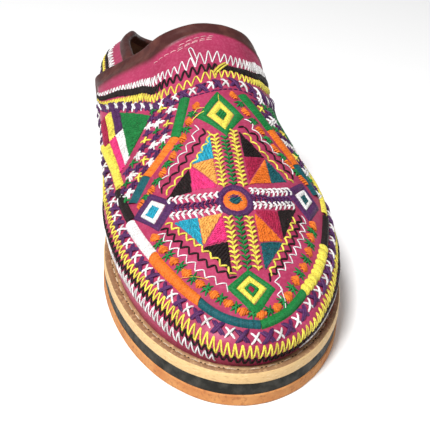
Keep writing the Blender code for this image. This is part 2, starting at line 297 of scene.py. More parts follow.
class Nodes:
    """Short way to write a material's nodes."""

    def __init__(self, name, roughness, specular=0.5):
        self.material = bpy.data.materials.new(name)
        self.material.use_nodes = True
        self.tree = self.material.node_tree
        self.shader = self.tree.nodes["Principled BSDF"]
        self.shader.inputs["Roughness"].default_value = roughness
        self.shader.inputs["Specular IOR Level"].default_value = specular
        self.place = self.tree.nodes.new("ShaderNodeTexCoord").outputs["Object"]

    def link(self, value, socket):
        if isinstance(value, bpy.types.NodeSocket):
            self.tree.links.new(value, socket)
        else:
            socket.default_value = value

    def node(self, kind, **settings):
        """New node with its inputs set or linked by name, underscores for spaces."""
        node = self.tree.nodes.new(kind)
        for name, value in settings.items():
            self.link(value, node.inputs[name.replace("_", " ")])
        return node

    def noise(self, scale, detail, roughness=0.55, stretch=None):
        node = self.node(
            "ShaderNodeTexNoise", Scale=scale, Detail=detail, Roughness=roughness,
            Vector=self.stretched(stretch),
        )
        return node.outputs["Fac"]

    def cells(self, scale):
        return self.node("ShaderNodeTexVoronoi", Scale=scale, Vector=self.place).outputs["Distance"]

    def stretched(self, stretch):
        if stretch is None:
            return self.place
        return self.node("ShaderNodeMapping", Scale=stretch, Vector=self.place).outputs["Vector"]

    def attribute(self, name):
        node = self.tree.nodes.new("ShaderNodeAttribute")
        node.attribute_name = name
        return node.outputs["Fac"]

    def ramp(self, value, low, high, start=0.0, end=1.0):
        node = self.node(
            "ShaderNodeMapRange", From_Min=low, From_Max=high, To_Min=start, To_Max=end, Value=value
        )
        return node.outputs["Result"]

    def math(self, operation, first, second):
        node = self.tree.nodes.new("ShaderNodeMath")
        node.operation = operation
        self.link(first, node.inputs[0])
        self.link(second, node.inputs[1])
        return node.outputs["Value"]

    def mix(self, share, first, second):
        node = self.tree.nodes.new("ShaderNodeMix")
        node.data_type = "RGBA"
        self.link(share, node.inputs["Factor"])
        colours = [s for s in node.inputs if s.type == "RGBA"]
        for colour, socket in zip((first, second), colours):
            if isinstance(colour, tuple):
                colour = (*colour, 1.0)
            self.link(colour, socket)
        return [s for s in node.outputs if s.type == "RGBA"][0]

    def stain(self, colour, stain, pattern, low, high, most=1.0):
        """Colour that another covers where a pattern goes from low to high."""
        return self.mix(self.ramp(pattern, low, high, 0.0, most), colour, stain)

    def bump(self, height, strength, distance, before=None):
        node = self.node("ShaderNodeBump", Strength=strength, Distance=distance, Height=height)
        if before is not None:
            self.link(before, node.inputs["Normal"])
        return node.outputs["Normal"]

    def finish(self, colour, normal=None, roughness=None):
        self.link(colour, self.shader.inputs["Base Color"])
        if normal is not None:
            self.link(normal, self.shader.inputs["Normal"])
        if roughness is not None:
            self.link(roughness, self.shader.inputs["Roughness"])
        return self.material


PINK = (0.40, 0.036, 0.105)
PINK_DEEP = (0.27, 0.020, 0.062)
PINK_PALE = (0.66, 0.16, 0.28)
# Dark colours of the folded hem and of the counter's rolled top: partly the leather's own darker dye, partly
# painted shade on the rolled edge
HEM_DYE_AND_SHADE = (0.054, 0.013, 0.012)
HEM_WORN_AND_SHADE = (0.105, 0.033, 0.026)
# Colour that the upper darkens to in blotches towards the welt
DARK_NEAR_WELT = (0.16, 0.07, 0.055)
LINING = (0.24, 0.13, 0.075)
LINING_DARK = (0.15, 0.075, 0.045)
LINING_PALE = (0.40, 0.26, 0.17)
TAN_SIDE = (0.70, 0.48, 0.215)
TAN_SIDE_WARM = (0.70, 0.45, 0.20)
TAN_FIBRE_DARK = (0.40, 0.22, 0.09)
TAN_FIBRE_PALE = (0.92, 0.74, 0.45)
TAN_LEDGE = (0.29, 0.165, 0.075)
TAN_LEDGE_DARK = (0.23, 0.115, 0.055)
TAN_LEDGE_PALE = (0.60, 0.38, 0.19)
CREPE = (0.47, 0.170, 0.045)
CREPE_PALE = (0.60, 0.28, 0.09)
CREPE_DARK = (0.26, 0.085, 0.025)
CREPE_STAIN = (0.22, 0.09, 0.04)
RUBBER = (0.013, 0.013, 0.010)
RUBBER_WORN = (0.050, 0.048, 0.040)
FLOOR = (0.93, 0.93, 0.93)
FLOOR_PALE = (0.95, 0.95, 0.95)

THREADS = {
    "white": (0.78, 0.70, 0.65),
    "yellow": (0.78, 0.55, 0.070),
    "orange": (0.72, 0.140, 0.012),
    "apricot": (0.83, 0.30, 0.060),
    "green": (0.004, 0.150, 0.030),
    "teal": (0.004, 0.076, 0.090),
    "cyan": (0.012, 0.270, 0.380),
    "purple": (0.062, 0.013, 0.076),
    "hotpink": (0.72, 0.026, 0.155),
    "crimson": (0.30, 0.008, 0.044),
    "black": (0.012, 0.007, 0.007),
    "rose": (0.78, 0.33, 0.36),
    "linen": (0.52, 0.42, 0.30),
}


def pink_leather():
    n = Nodes("embroidered_pink_leather", 0.42, specular=0.22)
    colour = n.stain(PINK, PINK_DEEP, n.noise(38, 4.0), 0.35, 0.68)
    colour = n.stain(colour, PINK_PALE, n.noise(900, 2.0), 0.45, 0.75, 0.22)
    # Hem colour: partly its own darker dye, partly painted shade on the rolled edge
    hem = n.stain(HEM_DYE_AND_SHADE, HEM_WORN_AND_SHADE, n.noise(120, 4.0), 0.42, 0.66)
    colour = n.mix(n.attribute("hem"), colour, hem)
    # Darker in noisy blotches towards the welt
    near_welt_dark = n.math("MULTIPLY", n.attribute("near_welt_dark"), n.ramp(n.noise(160, 5.0), 0.40, 0.62))
    colour = n.mix(near_welt_dark, colour, DARK_NEAR_WELT)
    normal = n.bump(n.cells(1500), 0.25, 0.00012)
    normal = n.bump(n.noise(260, 4.0), 0.35, 0.00035, normal)
    return n.finish(colour, normal, n.ramp(n.noise(420, 3.0), 0.3, 0.7, 0.36, 0.56))


def lining_leather():
    n = Nodes("brown_lining_leather", 0.75)
    colour = n.stain(LINING, LINING_DARK, n.noise(60, 5.0), 0.35, 0.65)
    colour = n.stain(colour, LINING_PALE, n.noise(1400, 2.0), 0.5, 0.8, 0.4)
    normal = n.bump(n.cells(1100), 0.3, 0.00015)
    normal = n.bump(n.noise(210, 4.0), 0.4, 0.0005, normal)
    return n.finish(colour, normal)


def tan_leather():
    """Pale, speckled cut side and a browner top, told apart by which way they face."""
    n = Nodes("tan_veg_leather", 0.62)
    fibres = n.noise(520, 4.0, 0.6, stretch=(1.0, 1.0, 3.2))
    side = n.stain(TAN_SIDE, TAN_SIDE_WARM, n.noise(70, 5.0), 0.35, 0.70)
    side = n.stain(side, TAN_FIBRE_DARK, fibres, 0.56, 0.72, 0.75)
    side = n.mix(n.ramp(fibres, 0.30, 0.42, 0.55, 0.0), side, TAN_FIBRE_PALE)
    top = n.stain(TAN_LEDGE, TAN_LEDGE_DARK, n.noise(110, 5.0), 0.32, 0.66)
    top = n.stain(top, TAN_LEDGE_PALE, n.noise(620, 3.0), 0.52, 0.72, 0.7)
    facing = n.tree.nodes.new("ShaderNodeNewGeometry")
    parts = n.tree.nodes.new("ShaderNodeSeparateXYZ")
    n.link(facing.outputs["Normal"], parts.inputs["Vector"])
    colour = n.stain(side, top, parts.outputs["Z"], 0.45, 0.95)
    normal = n.bump(fibres, 0.5, 0.0004)
    normal = n.bump(n.noise(1300, 2.0), 0.3, 0.0002, normal)
    return n.finish(colour, normal)


def crepe():
    n = Nodes("orange_brown_crepe", 0.80)
    colour = n.stain(CREPE, CREPE_PALE, n.noise(90, 5.0), 0.32, 0.70)
    colour = n.stain(colour, CREPE_DARK, n.noise(700, 3.0), 0.52, 0.70, 0.6)
    colour = n.stain(colour, CREPE_STAIN, n.noise(55, 3.0), 0.60, 0.72, 0.5)
    return n.finish(colour, n.bump(n.noise(480, 5.0), 0.5, 0.0006))


def black_rubber():
    n = Nodes("black_rubber", 0.70, specular=0.2)
    colour = n.stain(RUBBER, RUBBER_WORN, n.noise(240, 4.0), 0.42, 0.72)
    normal = n.bump(n.noise(900, 3.0, 0.5, stretch=(1.0, 1.0, 0.25)), 0.35, 0.0003)
    return n.finish(colour, normal, n.ramp(n.noise(300, 3.0), 0.3, 0.7, 0.45, 0.75))


THREAD_GLOSS = 0.18
BLACK_GLOSS = 0.08
TWIST_SCALE = 2.2
TWIST_UNEVEN = 0.6


def thread_material(name, colour):
    """Shiny twisted cotton. The twist runs round the thread along its own length."""
    n = Nodes("thread_" + name, 0.36, specular=BLACK_GLOSS if name == "black" else THREAD_GLOSS)
    dark = tuple(0.42 * c for c in colour)
    pale = tuple(min(1.60 * c + 0.009, 1.0) for c in colour)
    tint = n.mix(n.attribute("shade"), dark, pale)
    # Painted sparkle of the satin's sheen: fine dark speckles of painted shade and fine pale glints of
    # painted highlight
    tint = n.stain(tint, dark, n.noise(1500, 2.0), 0.42, 0.66, 0.60)
    tint = n.stain(tint, pale, n.noise(2300, 2.0), 0.50, 0.68, 0.68)
    uv = n.tree.nodes.new("ShaderNodeUVMap")
    uv.uv_map = "twist"
    twist = n.tree.nodes.new("ShaderNodeTexWave")
    twist.bands_direction = "DIAGONAL"
    twist.inputs["Scale"].default_value = TWIST_SCALE
    twist.inputs["Distortion"].default_value = TWIST_UNEVEN
    n.link(uv.outputs["UV"], twist.inputs["Vector"])
    return n.finish(tint, n.bump(twist.outputs["Fac"], 0.35, 0.00012))


def floor_material():
    n = Nodes("plain_pale_floor", 0.9, specular=0.1)
    return n.finish(n.stain(FLOOR, FLOOR_PALE, n.noise(3, 2.0), 0.3, 0.7))


# Meshes


def put_in_scene(name, data):
    obj = bpy.data.objects.new(name, data)
    bpy.context.scene.collection.objects.link(obj)
    return obj


def add_piece(name, mesh, materials, node=None):
    """Visible piece of the shoe, in place of a solid where it names one."""
    obj = put_in_scene(name, mesh)
    for material in materials:
        mesh.materials.append(material)
    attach(obj, "root")
    if node:
        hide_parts(node)


def mesh_from(name, points, faces, material_index=None, smooth=True):
    mesh = bpy.data.meshes.new(name)
    mesh.from_pydata([tuple(p) for p in points], [], faces)
    if material_index is not None:
        mesh.polygons.foreach_set("material_index", material_index)
    if smooth:
        mesh.shade_smooth()
    mesh.update()
    return mesh


def set_attribute(mesh, name, values):
    layer = mesh.attributes.new(name, "FLOAT", "POINT")
    layer.data.foreach_set("value", np.asarray(values, np.float32).ravel())


def grid_faces(rows, columns, closed=False):
    faces = []
    for r in range(rows - 1):
        for c in range(columns if closed else columns - 1):
            n = (c + 1) % columns
            faces.append((r * columns + c, r * columns + n, (r + 1) * columns + n, (r + 1) * columns + c))
    return faces


def grid_normals(grid):
    """Outward normals of a grid of points on the last, zero where it has no area."""
    normal = np.cross(np.gradient(grid, axis=1), np.gradient(grid, axis=0))
    flat = np.linalg.norm(normal, axis=2) < TINY
    normal = unit_rows(normal)
    normal[flat] = 0.0
    return normal


def outline(inset, count=150):
    """Closed ring round the sole, drawn in by the inset."""
    stations = [-math.cos(math.pi * k / count) * LENGTH / 2 for k in range(count + 1)]
    ring = [level(s, 1, inset) for s in stations]
    return ring + [level(s, -1, inset) for s in reversed(stations[1:-1])]


# How fine the waves of a cut edge are, the middle that they go out from, and their height
CUT_WAVES = 130
CUT_WAVES_UP = 90
MIDDLE_Y = 0.02
CUT_ROUGH = 0.00022
SHARP_EDGE = math.radians(40)


def stack(name, rings):
    """Closed body through rings, given as (inset, height, how uneven the cut is)."""
    rows = []
    for inset, z, rough in rings:
        row = []
        for x, y in outline(inset):
            spot = Vector((x * CUT_WAVES, y * CUT_WAVES, z * CUT_WAVES_UP))
            wobble = noise.noise(spot) + 0.5 * noise.noise(spot * 4.1)
            out = Vector((x, y - MIDDLE_Y)).normalized() * wobble * rough
            row.append((x + out.x, y + out.y, z + 0.3 * wobble * rough))
        rows.append(row)
    columns = len(rows[0])
    points = [p for row in rows for p in row]
    faces = grid_faces(len(rows), columns, closed=True)
    faces.append(tuple(reversed(range(columns))))
    top = (len(rows) - 1) * columns
    faces.append(tuple(range(top, top + columns)))
    mesh = mesh_from(name, points, faces)
    mesh.set_sharp_from_angle(angle=SHARP_EDGE)
    return mesh


def make_sole(materials):
    """The three layers. Their sides are a little hollow, and they close the solids' gaps."""
    rough = CUT_ROUGH
    edge = 0.0005
    z = OUTSOLE_THICK
    rings = [
        (edge, 0, rough), (0, edge, rough), (0.0001, z / 2, rough), (0, z - edge, rough), (edge, z, rough),
    ]
    add_piece("crepe_outsole", stack("crepe_outsole", rings), [materials["crepe"]], "outsole")
    low, high = RUBBER_Z - GAP, RUBBER_Z + RUBBER_THICK + GAP / 2
    rings = [(edge, low, rough), (0.0003, (low + high) / 2, rough), (edge, high, rough)]
    add_piece("rubber_midsole", stack("rubber_midsole", rings), [materials["rubber"]], "midsole")
    low, top = WELT_Z - GAP / 2, WELT_TOP
    groove = GROOVE_INSET + GROOVE_WIDTH / 2
    lip = 0.0004
    rings = [
        (0.0002, low, rough),
        (0.0, low + lip, rough),
        (0.00015, (low + top) / 2, rough),
        (0.0, top - EDGE_ROUND, rough),
        (EDGE_ROUND * 0.3, top - EDGE_ROUND * 0.3, rough),
        (EDGE_ROUND, top, rough),
        (GROOVE_INSET - lip, top, rough / 2),
        (GROOVE_INSET, top - GROOVE_DEPTH * 0.3, 0),
        (groove, top - GROOVE_DEPTH, 0),
        (GROOVE_INSET + GROOVE_WIDTH, top - GROOVE_DEPTH * 0.3, 0),
        (GROOVE_INSET + GROOVE_WIDTH + lip, top, rough / 2),
        (GROOVE_INSET + GROOVE_WIDTH + 0.004, top, 0),
    ]
    add_piece("tan_welt", stack("tan_welt", rings), [materials["tan"]], "welt")


def column_point(column, station):
    kind, side, value = column
    if kind == "wall":
        return wall_point(station, side, value)
    return arch_point(station, value)


def column_end(column):
    """Station where a column of the vamp meets the collar or the back edge of a wing."""
    kind, _, value = column
    if kind == "wall":
        return WING_Y + WING_RAKE * (1 - value)
    return COLLAR_Y + COLLAR_SWEEP * abs(math.cos(value)) ** COLLAR_CURVE


WALL_STEPS = 16
ARCH_STEPS = 116
BODY_ROWS = 118
HEM_ROWS = 44
HEM_REACH = 0.016
HEM_CROWDING = 1.25
TOE_CROWDING = 1.45
# Width of the folded collar hem: place along the collar from its top, then the width
HEM_WIDTHS = (
    (-70, 12.0), (-40, 11.5), (-20, 10.5), (-10, 8.5), (0, 7.0), (10, 7.3), (20, 8.3), (35, 9.5),
    (70, 12.0),
)
# How softly the hem's dark colour, part dye and part painted shade, ends: place along the collar, then the
# width
HEM_SOFTNESS = ((-70, 5.0), (-30, 4.0), (-8, 0.6), (70, 0.6))
HEM_RAISE = 0.0007
HEM_TURN = 0.002
HEM_INSIDE_ROWS = 26
# Height above the welt over which the vamp darkens, and the most it darkens
DARK_NEAR_WELT_HEIGHT = 0.004
DARK_NEAR_WELT_MOST = 0.35

COUNTER_SIDE_STEPS = 26
COUNTER_TURN_STEPS = 60
COUNTER_BODY_ROWS = 40
COUNTER_HEM = 0.0062
COUNTER_HEM_SOFTNESS = 0.0008
COUNTER_HEM_RAISE = 0.0004
COUNTER_HEM_REACH = 0.012
COUNTER_HEM_ROWS = 26
COUNTER_HEM_INSIDE_ROWS = 16
# Height above the welt over which the counter darkens, and the most it darkens
COUNTER_DARK_NEAR_WELT_HEIGHT = 0.006
COUNTER_DARK_NEAR_WELT_MOST = 0.8

# Soft creases: ends in the plan, width across, height (negative is a trough), all in mm
CREASES = (
    ((-46, 34), (-30, 8), 5.0, -0.7),
    ((-44, 46), (-36, 26), 4.0, 0.6),
    ((24, 27), (36, 2), 5.0, -0.7),
    ((-20, 27), (-8, 14), 5.0, -0.35),
    ((10, 28), (16, 12), 5.0, -0.35),
    ((-30, -30), (-6, -44), 9.0, -0.35),
    ((28, -34), (8, -50), 9.0, -0.35),
    ((-34, -84), (-20, -104), 7.0, 0.35),
    ((20, -110), (34, -92), 7.0, 0.35),
)
CREASE_SPREAD = 0.55
# Puckers: how fine they are, and their height
PUCKERS = ((105, 1.0), (330, 0.4))
PUCKER_HEIGHT = 0.00022
# Height over which creases and puckers fade in above the welt
CALM = 0.008
FOOT_SINK = 0.0006


def vamp_columns():
    rises = [k / WALL_STEPS for k in range(WALL_STEPS)]
    inner = [("wall", -1, rise) for rise in rises]
    arch = [("arch", 0, math.pi * k / ARCH_STEPS) for k in range(ARCH_STEPS + 1)]
    outer = [("wall", 1, rise) for rise in reversed(rises)]
    return inner + arch + outer


def collar_frame(columns):
    """Where the columns end, arc length from the collar's top, and station per metre down."""
    ends = [column_end(c) for c in columns]
    edge = np.array([column_point(c, e) for c, e in zip(columns, ends)])
    arc = arc_lengths(edge)
    arc -= arc[len(columns) // 2]
    tangent = unit_rows(np.gradient(edge, axis=0))
    stretch = []
    for column, end, point, t in zip(columns, ends, edge, tangent):
        before = np.array(column_point(column, end - PROBE))
        step = (point - before) / PROBE
        stretch.append(1 / np.linalg.norm(step - t * (step @ t)))
    return ends, arc, stretch


def crease_shift(points):
    """Height of the soft creases at an array of points."""
    flat = points[..., :2] / MM
    shift = np.zeros(points.shape[:-1])
    for start, end, width, height in CREASES:
        start, end = np.array(start, float), np.array(end, float)
        axis = end - start
        share = np.clip(((flat - start) @ axis) / (axis @ axis), -0.3, 1.3)
        away = np.linalg.norm(flat - start - share[..., None] * axis, axis=-1)
        ends = np.exp(-((share - 0.5) / CREASE_SPREAD) ** 4)
        shift += height * MM * ends * np.exp(-((away / width) ** 2))
    return shift


def pucker(points):
    """Height of the small puckers at an array of points."""
    places = [Vector(p) for p in points.reshape(-1, 3)]
    values = [sum(share * noise.noise(p * fineness) for fineness, share in PUCKERS) for p in places]
    return PUCKER_HEIGHT * np.array(values).reshape(points.shape[:-1])


def rolled(distance, wall, bead):
    """Outer and inner shift of a wall near its rolled edge."""
    radius = (wall + bead) / 2
    middle = (bead - wall) / 2
    if distance < radius:
        half = radius * math.sqrt(max(1 - (1 - distance / radius) ** 2, 0.0))
        return middle + half, middle - half
    fade = 1 - smoothstep((distance - radius) / (3 * radius))
    return bead * fade, -wall


def hem_distances(reach, rows):
    """Distances from the edge to the hem's rows, which crowd towards the edge."""
    return [reach * (1 - k / rows) ** HEM_CROWDING for k in range(rows + 1)]


def leather_column(body, rim, distances, wall, bead, tuck, fold_at, hem_raise):
    """Column of a sheet. Each row is a place, its outer and inner shift, and its share of hem."""
    column = [(*point, -tuck, -tuck - wall, 0.0) for point in body]
    for point, distance in zip(rim, distances):
        shift, behind = rolled(distance, wall, bead)
        fold = fold_at(distance)
        out = shift - tuck + hem_raise * fold * smoothstep(distance / HEM_TURN)
        column.append((*point, out, behind - tuck, fold))
    return column


def there_and_back(outer, inner):
    """Rows of the outer face, then those of the inner face from the edge back down."""
    return np.concatenate([outer, inner[::-1][1:]])


def shell(name, columns, dark_height, dark_most, inside_rows, materials, node):
    """Leather shell: its outer face, round its rolled edge, then its lining face."""
    sheet = np.array(columns).transpose(1, 0, 2)
    grid, out, back, hem = sheet[..., :3], sheet[..., 3], sheet[..., 4], sheet[..., 5]
    rise = grid[..., 2] - UPPER_Z
    normal = grid_normals(grid)
    foot = rise < TINY_RISE
    normal[foot, 2] = 0.0
    normal = unit_rows(normal)
    dent = (crease_shift(grid) + pucker(grid)) * np.clip(rise / CALM, 0, 1)
    outer = grid + normal * (out + dent)[..., None]
    inner = grid + normal * (back + dent)[..., None]
    outer[foot, 2] -= FOOT_SINK
    inner[foot, 2] -= FOOT_SINK
    rows, count = rise.shape
    faces = grid_faces(2 * rows - 1, count)
    lining_from = (rows - 1 + inside_rows) * (count - 1)
    which = [int(k >= lining_from) for k in range(len(faces))]
    mesh = mesh_from(name, there_and_back(outer, inner).reshape(-1, 3), faces, which)
    # Share that darkens towards the welt
    near_welt_dark = np.clip(1 - rise / dark_height, 0, 1) * dark_most
    set_attribute(mesh, "hem", there_and_back(hem, hem))
    set_attribute(mesh, "near_welt_dark", there_and_back(near_welt_dark, near_welt_dark))
    add_piece(name, mesh, materials, node)
    return BVHTree.FromPolygons([tuple(p) for p in outer.reshape(-1, 3)], grid_faces(rows, count))


def make_vamp(materials):
    columns = vamp_columns()
    distances = hem_distances(HEM_REACH, HEM_ROWS)
    sheet = []
    for column, end, along, stretch in zip(columns, *collar_frame(columns)):
        width = between(HEM_WIDTHS, along / MM) * MM
        soft = between(HEM_SOFTNESS, along / MM) * MM
        length = end - HEM_REACH * stretch - TOE_Y
        shares = [(k / BODY_ROWS) ** TOE_CROWDING for k in range(BODY_ROWS)]
        body = [column_point(column, TOE_Y + length * share) for share in shares]
        rim = [column_point(column, end - distance * stretch) for distance in distances]
        bead = COLLAR_BEAD if column[0] == "arch" else COLLAR_BEAD * column[2]

        def fold_at(distance):
            return 1 - smoothstep((distance - width) / soft + 0.5)

        sheet.append(leather_column(body, rim, distances, VAMP_WALL, bead, 0.0, fold_at, HEM_RAISE))
    return shell("pink_vamp", sheet, DARK_NEAR_WELT_HEIGHT, DARK_NEAR_WELT_MOST, HEM_INSIDE_ROWS, materials, "upper_vamp")


def counter_path():
    front = WING_Y - TUCK
    side = [front + (HEEL_CENTRE_Y - front) * k / COUNTER_SIDE_STEPS for k in range(COUNTER_SIDE_STEPS)]
    turns = [math.pi / 2 * k / COUNTER_TURN_STEPS for k in range(COUNTER_TURN_STEPS + 1)]
    stations = side + [HEEL_CENTRE_Y + HEEL_REACH * math.sin(turn) for turn in turns]
    return [(s, 1) for s in stations] + [(s, -1) for s in reversed(stations[:-1])]


# Share of the counter's rolled top that takes the dark hem colour, partly dye and partly painted shade
def counter_fold(distance):
    return 1 - smoothstep((distance - COUNTER_HEM) / COUNTER_HEM_SOFTNESS)


def make_counter(materials):
    distances = hem_distances(COUNTER_HEM_REACH, COUNTER_HEM_ROWS)
    sheet = []
    for station, side in counter_path():
        bead = COUNTER_BEAD * smoothstep((station - WING_Y + 0.3 * TUCK) / (0.5 * TUCK))
        rim_z = counter_rim_z(station)
        edge = heel_point(station, side, rim_z)
        below = heel_point(station, side, rim_z - PROBE)
        stretch = PROBE / (edge - below).length
        height = rim_z - COUNTER_HEM_REACH * stretch - UPPER_Z
        levels = [UPPER_Z + height * k / COUNTER_BODY_ROWS for k in range(COUNTER_BODY_ROWS)]
        body = [heel_point(station, side, z) for z in levels]
        rim = [heel_point(station, side, rim_z - distance * stretch) for distance in distances]
        column = leather_column(
            body, rim, distances, COUNTER_WALL, bead, LAP, counter_fold, COUNTER_HEM_RAISE
        )
        sheet.append(column)
    return shell(
        "pink_counter", sheet, COUNTER_DARK_NEAR_WELT_HEIGHT, COUNTER_DARK_NEAR_WELT_MOST, COUNTER_HEM_INSIDE_ROWS,
        materials, "upper_counter",
    )


# Charts: each turns two places in mm into a point on the leather and its normal.
# How far off the rays start, then how fine the strips are and how far they reach
FAR = 0.2
RIBBON_STEPS = 110
RIBBON_CROWDING = 1.8
RIBBON_HEIGHT = 46
RIBBON_REACH = 55
COLLAR_DEPTH = 60
# Arc from the back of the heel to the end of its round part, in mm
HEEL_TURN = 62.0
# Height that one mm of depth takes up on the leaning counter
HEEL_DEPTH_SHARE = 0.93


class Charts:
    """Ways to name a place on the vamp or on the counter by two lengths."""

    def __init__(self, vamp, counter):
        self.vamp_tree = vamp
        self.counter_tree = counter
        self.make_ribbon()
        self.make_collar()

    def plan(self, x, y):
        """Seen from above: across and along the shoe."""
        return self.cast(Vector((x * MM, y * MM, FAR)), Vector((0, 0, -1)))

    def inner(self, y, z):
        return self.flank(y, z, -1)

    def outer(self, y, z):
        return self.flank(y, z, 1)

    def flank(self, y, z, side):
        """Seen from the side: along the shoe and up."""
        return self.cast(Vector((side * FAR, y * MM, z * MM)), Vector((-side, 0, 0)))

    def cast(self, start, direction):
        hit, normal, _, _ = self.vamp_tree.ray_cast(start, direction)
        return None if hit is None else (hit, normal)

    def nearest(self, tree, point):
        hit, normal, _, _ = tree.find_nearest(Vector(point))
        return hit, normal

    def make_ribbon(self):
        """Strip along the welt: arc length from the toe, inner side negative, and height."""
        shares = [(k / RIBBON_STEPS) ** RIBBON_CROWDING for k in range(RIBBON_STEPS + 1)]
        stations = [TOE_Y + (WING_Y - TOE_Y) * share for share in shares]
        path = [(s, -1) for s in reversed(stations)] + [(s, 1) for s in stations[1:]]
        self.heights = np.arange(0, RIBBON_HEIGHT, 1.0)
        rows, feet = [], []
        for station, side in path:
            line = [tuple(wall_point(station, side, rise)) for rise in np.linspace(0, 1, 9)]
            start = ledge(station) - bulge(station, side)
            for k in range(1, RIBBON_REACH):
                x, y = level(station, side, start + k * MM)
                hit = self.plan(x / MM, y / MM)
                if hit is None:
                    break
                line.append(tuple(hit[0]))
            line = np.array(line)
            arc = arc_lengths(line) / MM
            rows.append([[np.interp(h, arc, line[:, k]) for k in range(3)] for h in self.heights])
            feet.append(line[0])
        arc = arc_lengths(feet) / MM
        self.ribbon_arc = arc - arc[RIBBON_STEPS]
        self.ribbon_grid = np.array(rows)

    def make_collar(self):
        """Strip along the collar: arc length from its top, and depth below its edge."""
        columns = vamp_columns()
        ends, arc, stretches = collar_frame(columns)
        self.depths = np.arange(0, COLLAR_DEPTH, 1.0)
        self.collar_arc = arc / MM
        rows = []
        for column, end, stretch in zip(columns, ends, stretches):
            stations = [max(end - depth * MM * stretch, TOE_Y) for depth in self.depths]
            rows.append([tuple(column_point(column, station)) for station in stations])
        self.collar_grid = np.array(rows)

    def from_grid(self, arcs, steps, grid, along, up):
        i = int(np.clip(np.searchsorted(arcs, along) - 1, 0, len(arcs) - 2))
        j = int(np.clip(up - steps[0], 0, len(steps) - 2))
        s = (along - arcs[i]) / (arcs[i + 1] - arcs[i])
        t = up - steps[j]
        low = grid[i, j] * (1 - s) + grid[i + 1, j] * s
        high = grid[i, j + 1] * (1 - s) + grid[i + 1, j + 1] * s
        return low * (1 - t) + high * t

    def ribbon(self, along, up):
        point = self.from_grid(self.ribbon_arc, self.heights, self.ribbon_grid, along, up)
        return self.nearest(self.vamp_tree, point)

    def collar(self, along, down):
        point = self.from_grid(self.collar_arc, self.depths, self.collar_grid, along, down)
        return self.nearest(self.vamp_tree, point)

    def heel(self, along, down):
        """Round the heel: arc length from its back, inner side negative, and depth."""
        turn = min(abs(along) / HEEL_TURN, 1.0) * math.pi / 2
        side = -1 if along < 0 else 1
        station = HEEL_CENTRE_Y + HEEL_REACH * math.cos(turn)
        if abs(along) > HEEL_TURN:
            station = HEEL_CENTRE_Y - (abs(along) - HEEL_TURN) * MM
        height = counter_rim_z(station) - down * MM * HEEL_DEPTH_SHARE
        return self.nearest(self.counter_tree, heel_point(station, side, height))


# Threads

PROFILE = [math.radians(a) for a in (-40, 12, 62, 118, 168, 220)]
FLATNESS = 0.82
END_TAPER = 0.72
TWIST_STEP = 0.35
STITCH_SHADES = (0.25, 0.95)
SATIN_SHADES = (0.40, 0.85)
SATIN_PITCH = 0.36
SATIN_WIDTH = 0.64
SATIN_JITTER = 0.035
FILL_PITCH = 0.42
FILL_WIDTH = 0.60
FILL_STITCH = 2.7
SHORTEST = 1e-6
# Half the distance over which the direction of a path is taken
TURN_REACH = 0.5
threads = {name: [] for name in THREADS}


class Track:
    """Path of chart places, read by the distance along it."""

    def __init__(self, path):
        self.path = np.array(path, float)
        self.arc = arc_lengths(self.path)
        self.length = self.arc[-1]

    def at(self, distance):
        return np.array([np.interp(distance, self.arc, self.path[:, k]) for k in (0, 1)])

    def share(self, share):
        return self.at(share * self.length)

    def direction(self, distance):
        step = self.at(distance + TURN_REACH) - self.at(distance - TURN_REACH)
        return step / np.linalg.norm(step)

    def length_on(self, chart):
        """Length in mm that the path has on the leather itself."""
        hits = [chart(*self.share(s)) for s in np.linspace(0, 1, 9)]
        points = [hit[0] for hit in hits if hit is not None]
        return sum((b - a).length for a, b in zip(points, points[1:])) / MM


def left_of(direction):
    return np.array((-direction[1], direction[0]))


def jitter(place, amount=0.12):
    return (place[0] + DICE.normal(0, amount), place[1] + DICE.normal(0, amount))


def toward(a, b, share):
    return (a[0] + (b[0] - a[0]) * share, a[1] + (b[1] - a[1]) * share)


def lay(colour, chart, path, width, lift=0.3, shade=None, dip=0.5, steps=4):
    """One thread through a path of chart places, sunk into the leather at both ends."""
    track = Track(path)
    if track.length < SHORTEST:
        return
    points, normals = [], []
    for share in np.linspace(0, 1, steps + 1):
        hit = chart(*track.share(share))
        if hit is None:
            return
        rise = 4 * share * (1 - share)
        height = width * (0.30 * rise ** 0.5 - dip * (1 - rise ** 0.5)) + lift * rise
        points.append(np.array(hit[0]) + np.array(hit[1]) * height * MM)
        normals.append(np.array(hit[1]))
    if shade is None:
        shade = float(DICE.uniform(*STITCH_SHADES))
    threads[colour].append((np.array(points), np.array(normals), width * MM / 2, shade))


def bar(colour, chart, middle, arm, width, lift, steps=4):
    """Stitch that reaches by the arm to both sides of its middle."""
    low = (middle[0] - arm[0], middle[1] - arm[1])
    high = (middle[0] + arm[0], middle[1] + arm[1])
    lay(colour, chart, (jitter(low), jitter(high)), width, lift, steps=steps)


def satin_between(colour, chart, first, second, lift=0.25, lump=0.0):
    """Threads side by side from one edge line to another. lump is the length of a swelling."""
    tracks = Track(first), Track(second)
    length = max(track.length_on(chart) for track in tracks)
    count = max(int(length / SATIN_PITCH), 2)
    for k in range(count + 1):
        share = (k + 0.5) / (count + 1)
        a, b = (jitter(track.share(share), SATIN_JITTER) for track in tracks)
        height = lift
        if lump:
            swell = abs(math.sin(math.pi * share * length / lump)) ** 0.6
            height = lift * (0.20 + 1.10 * swell)
            reach = 0.20 * swell - 0.09
            a, b = toward(a, b, -reach), toward(b, a, -reach)
        lay(colour, chart, (a, b), SATIN_WIDTH, height, shade=float(DICE.uniform(*SATIN_SHADES)))


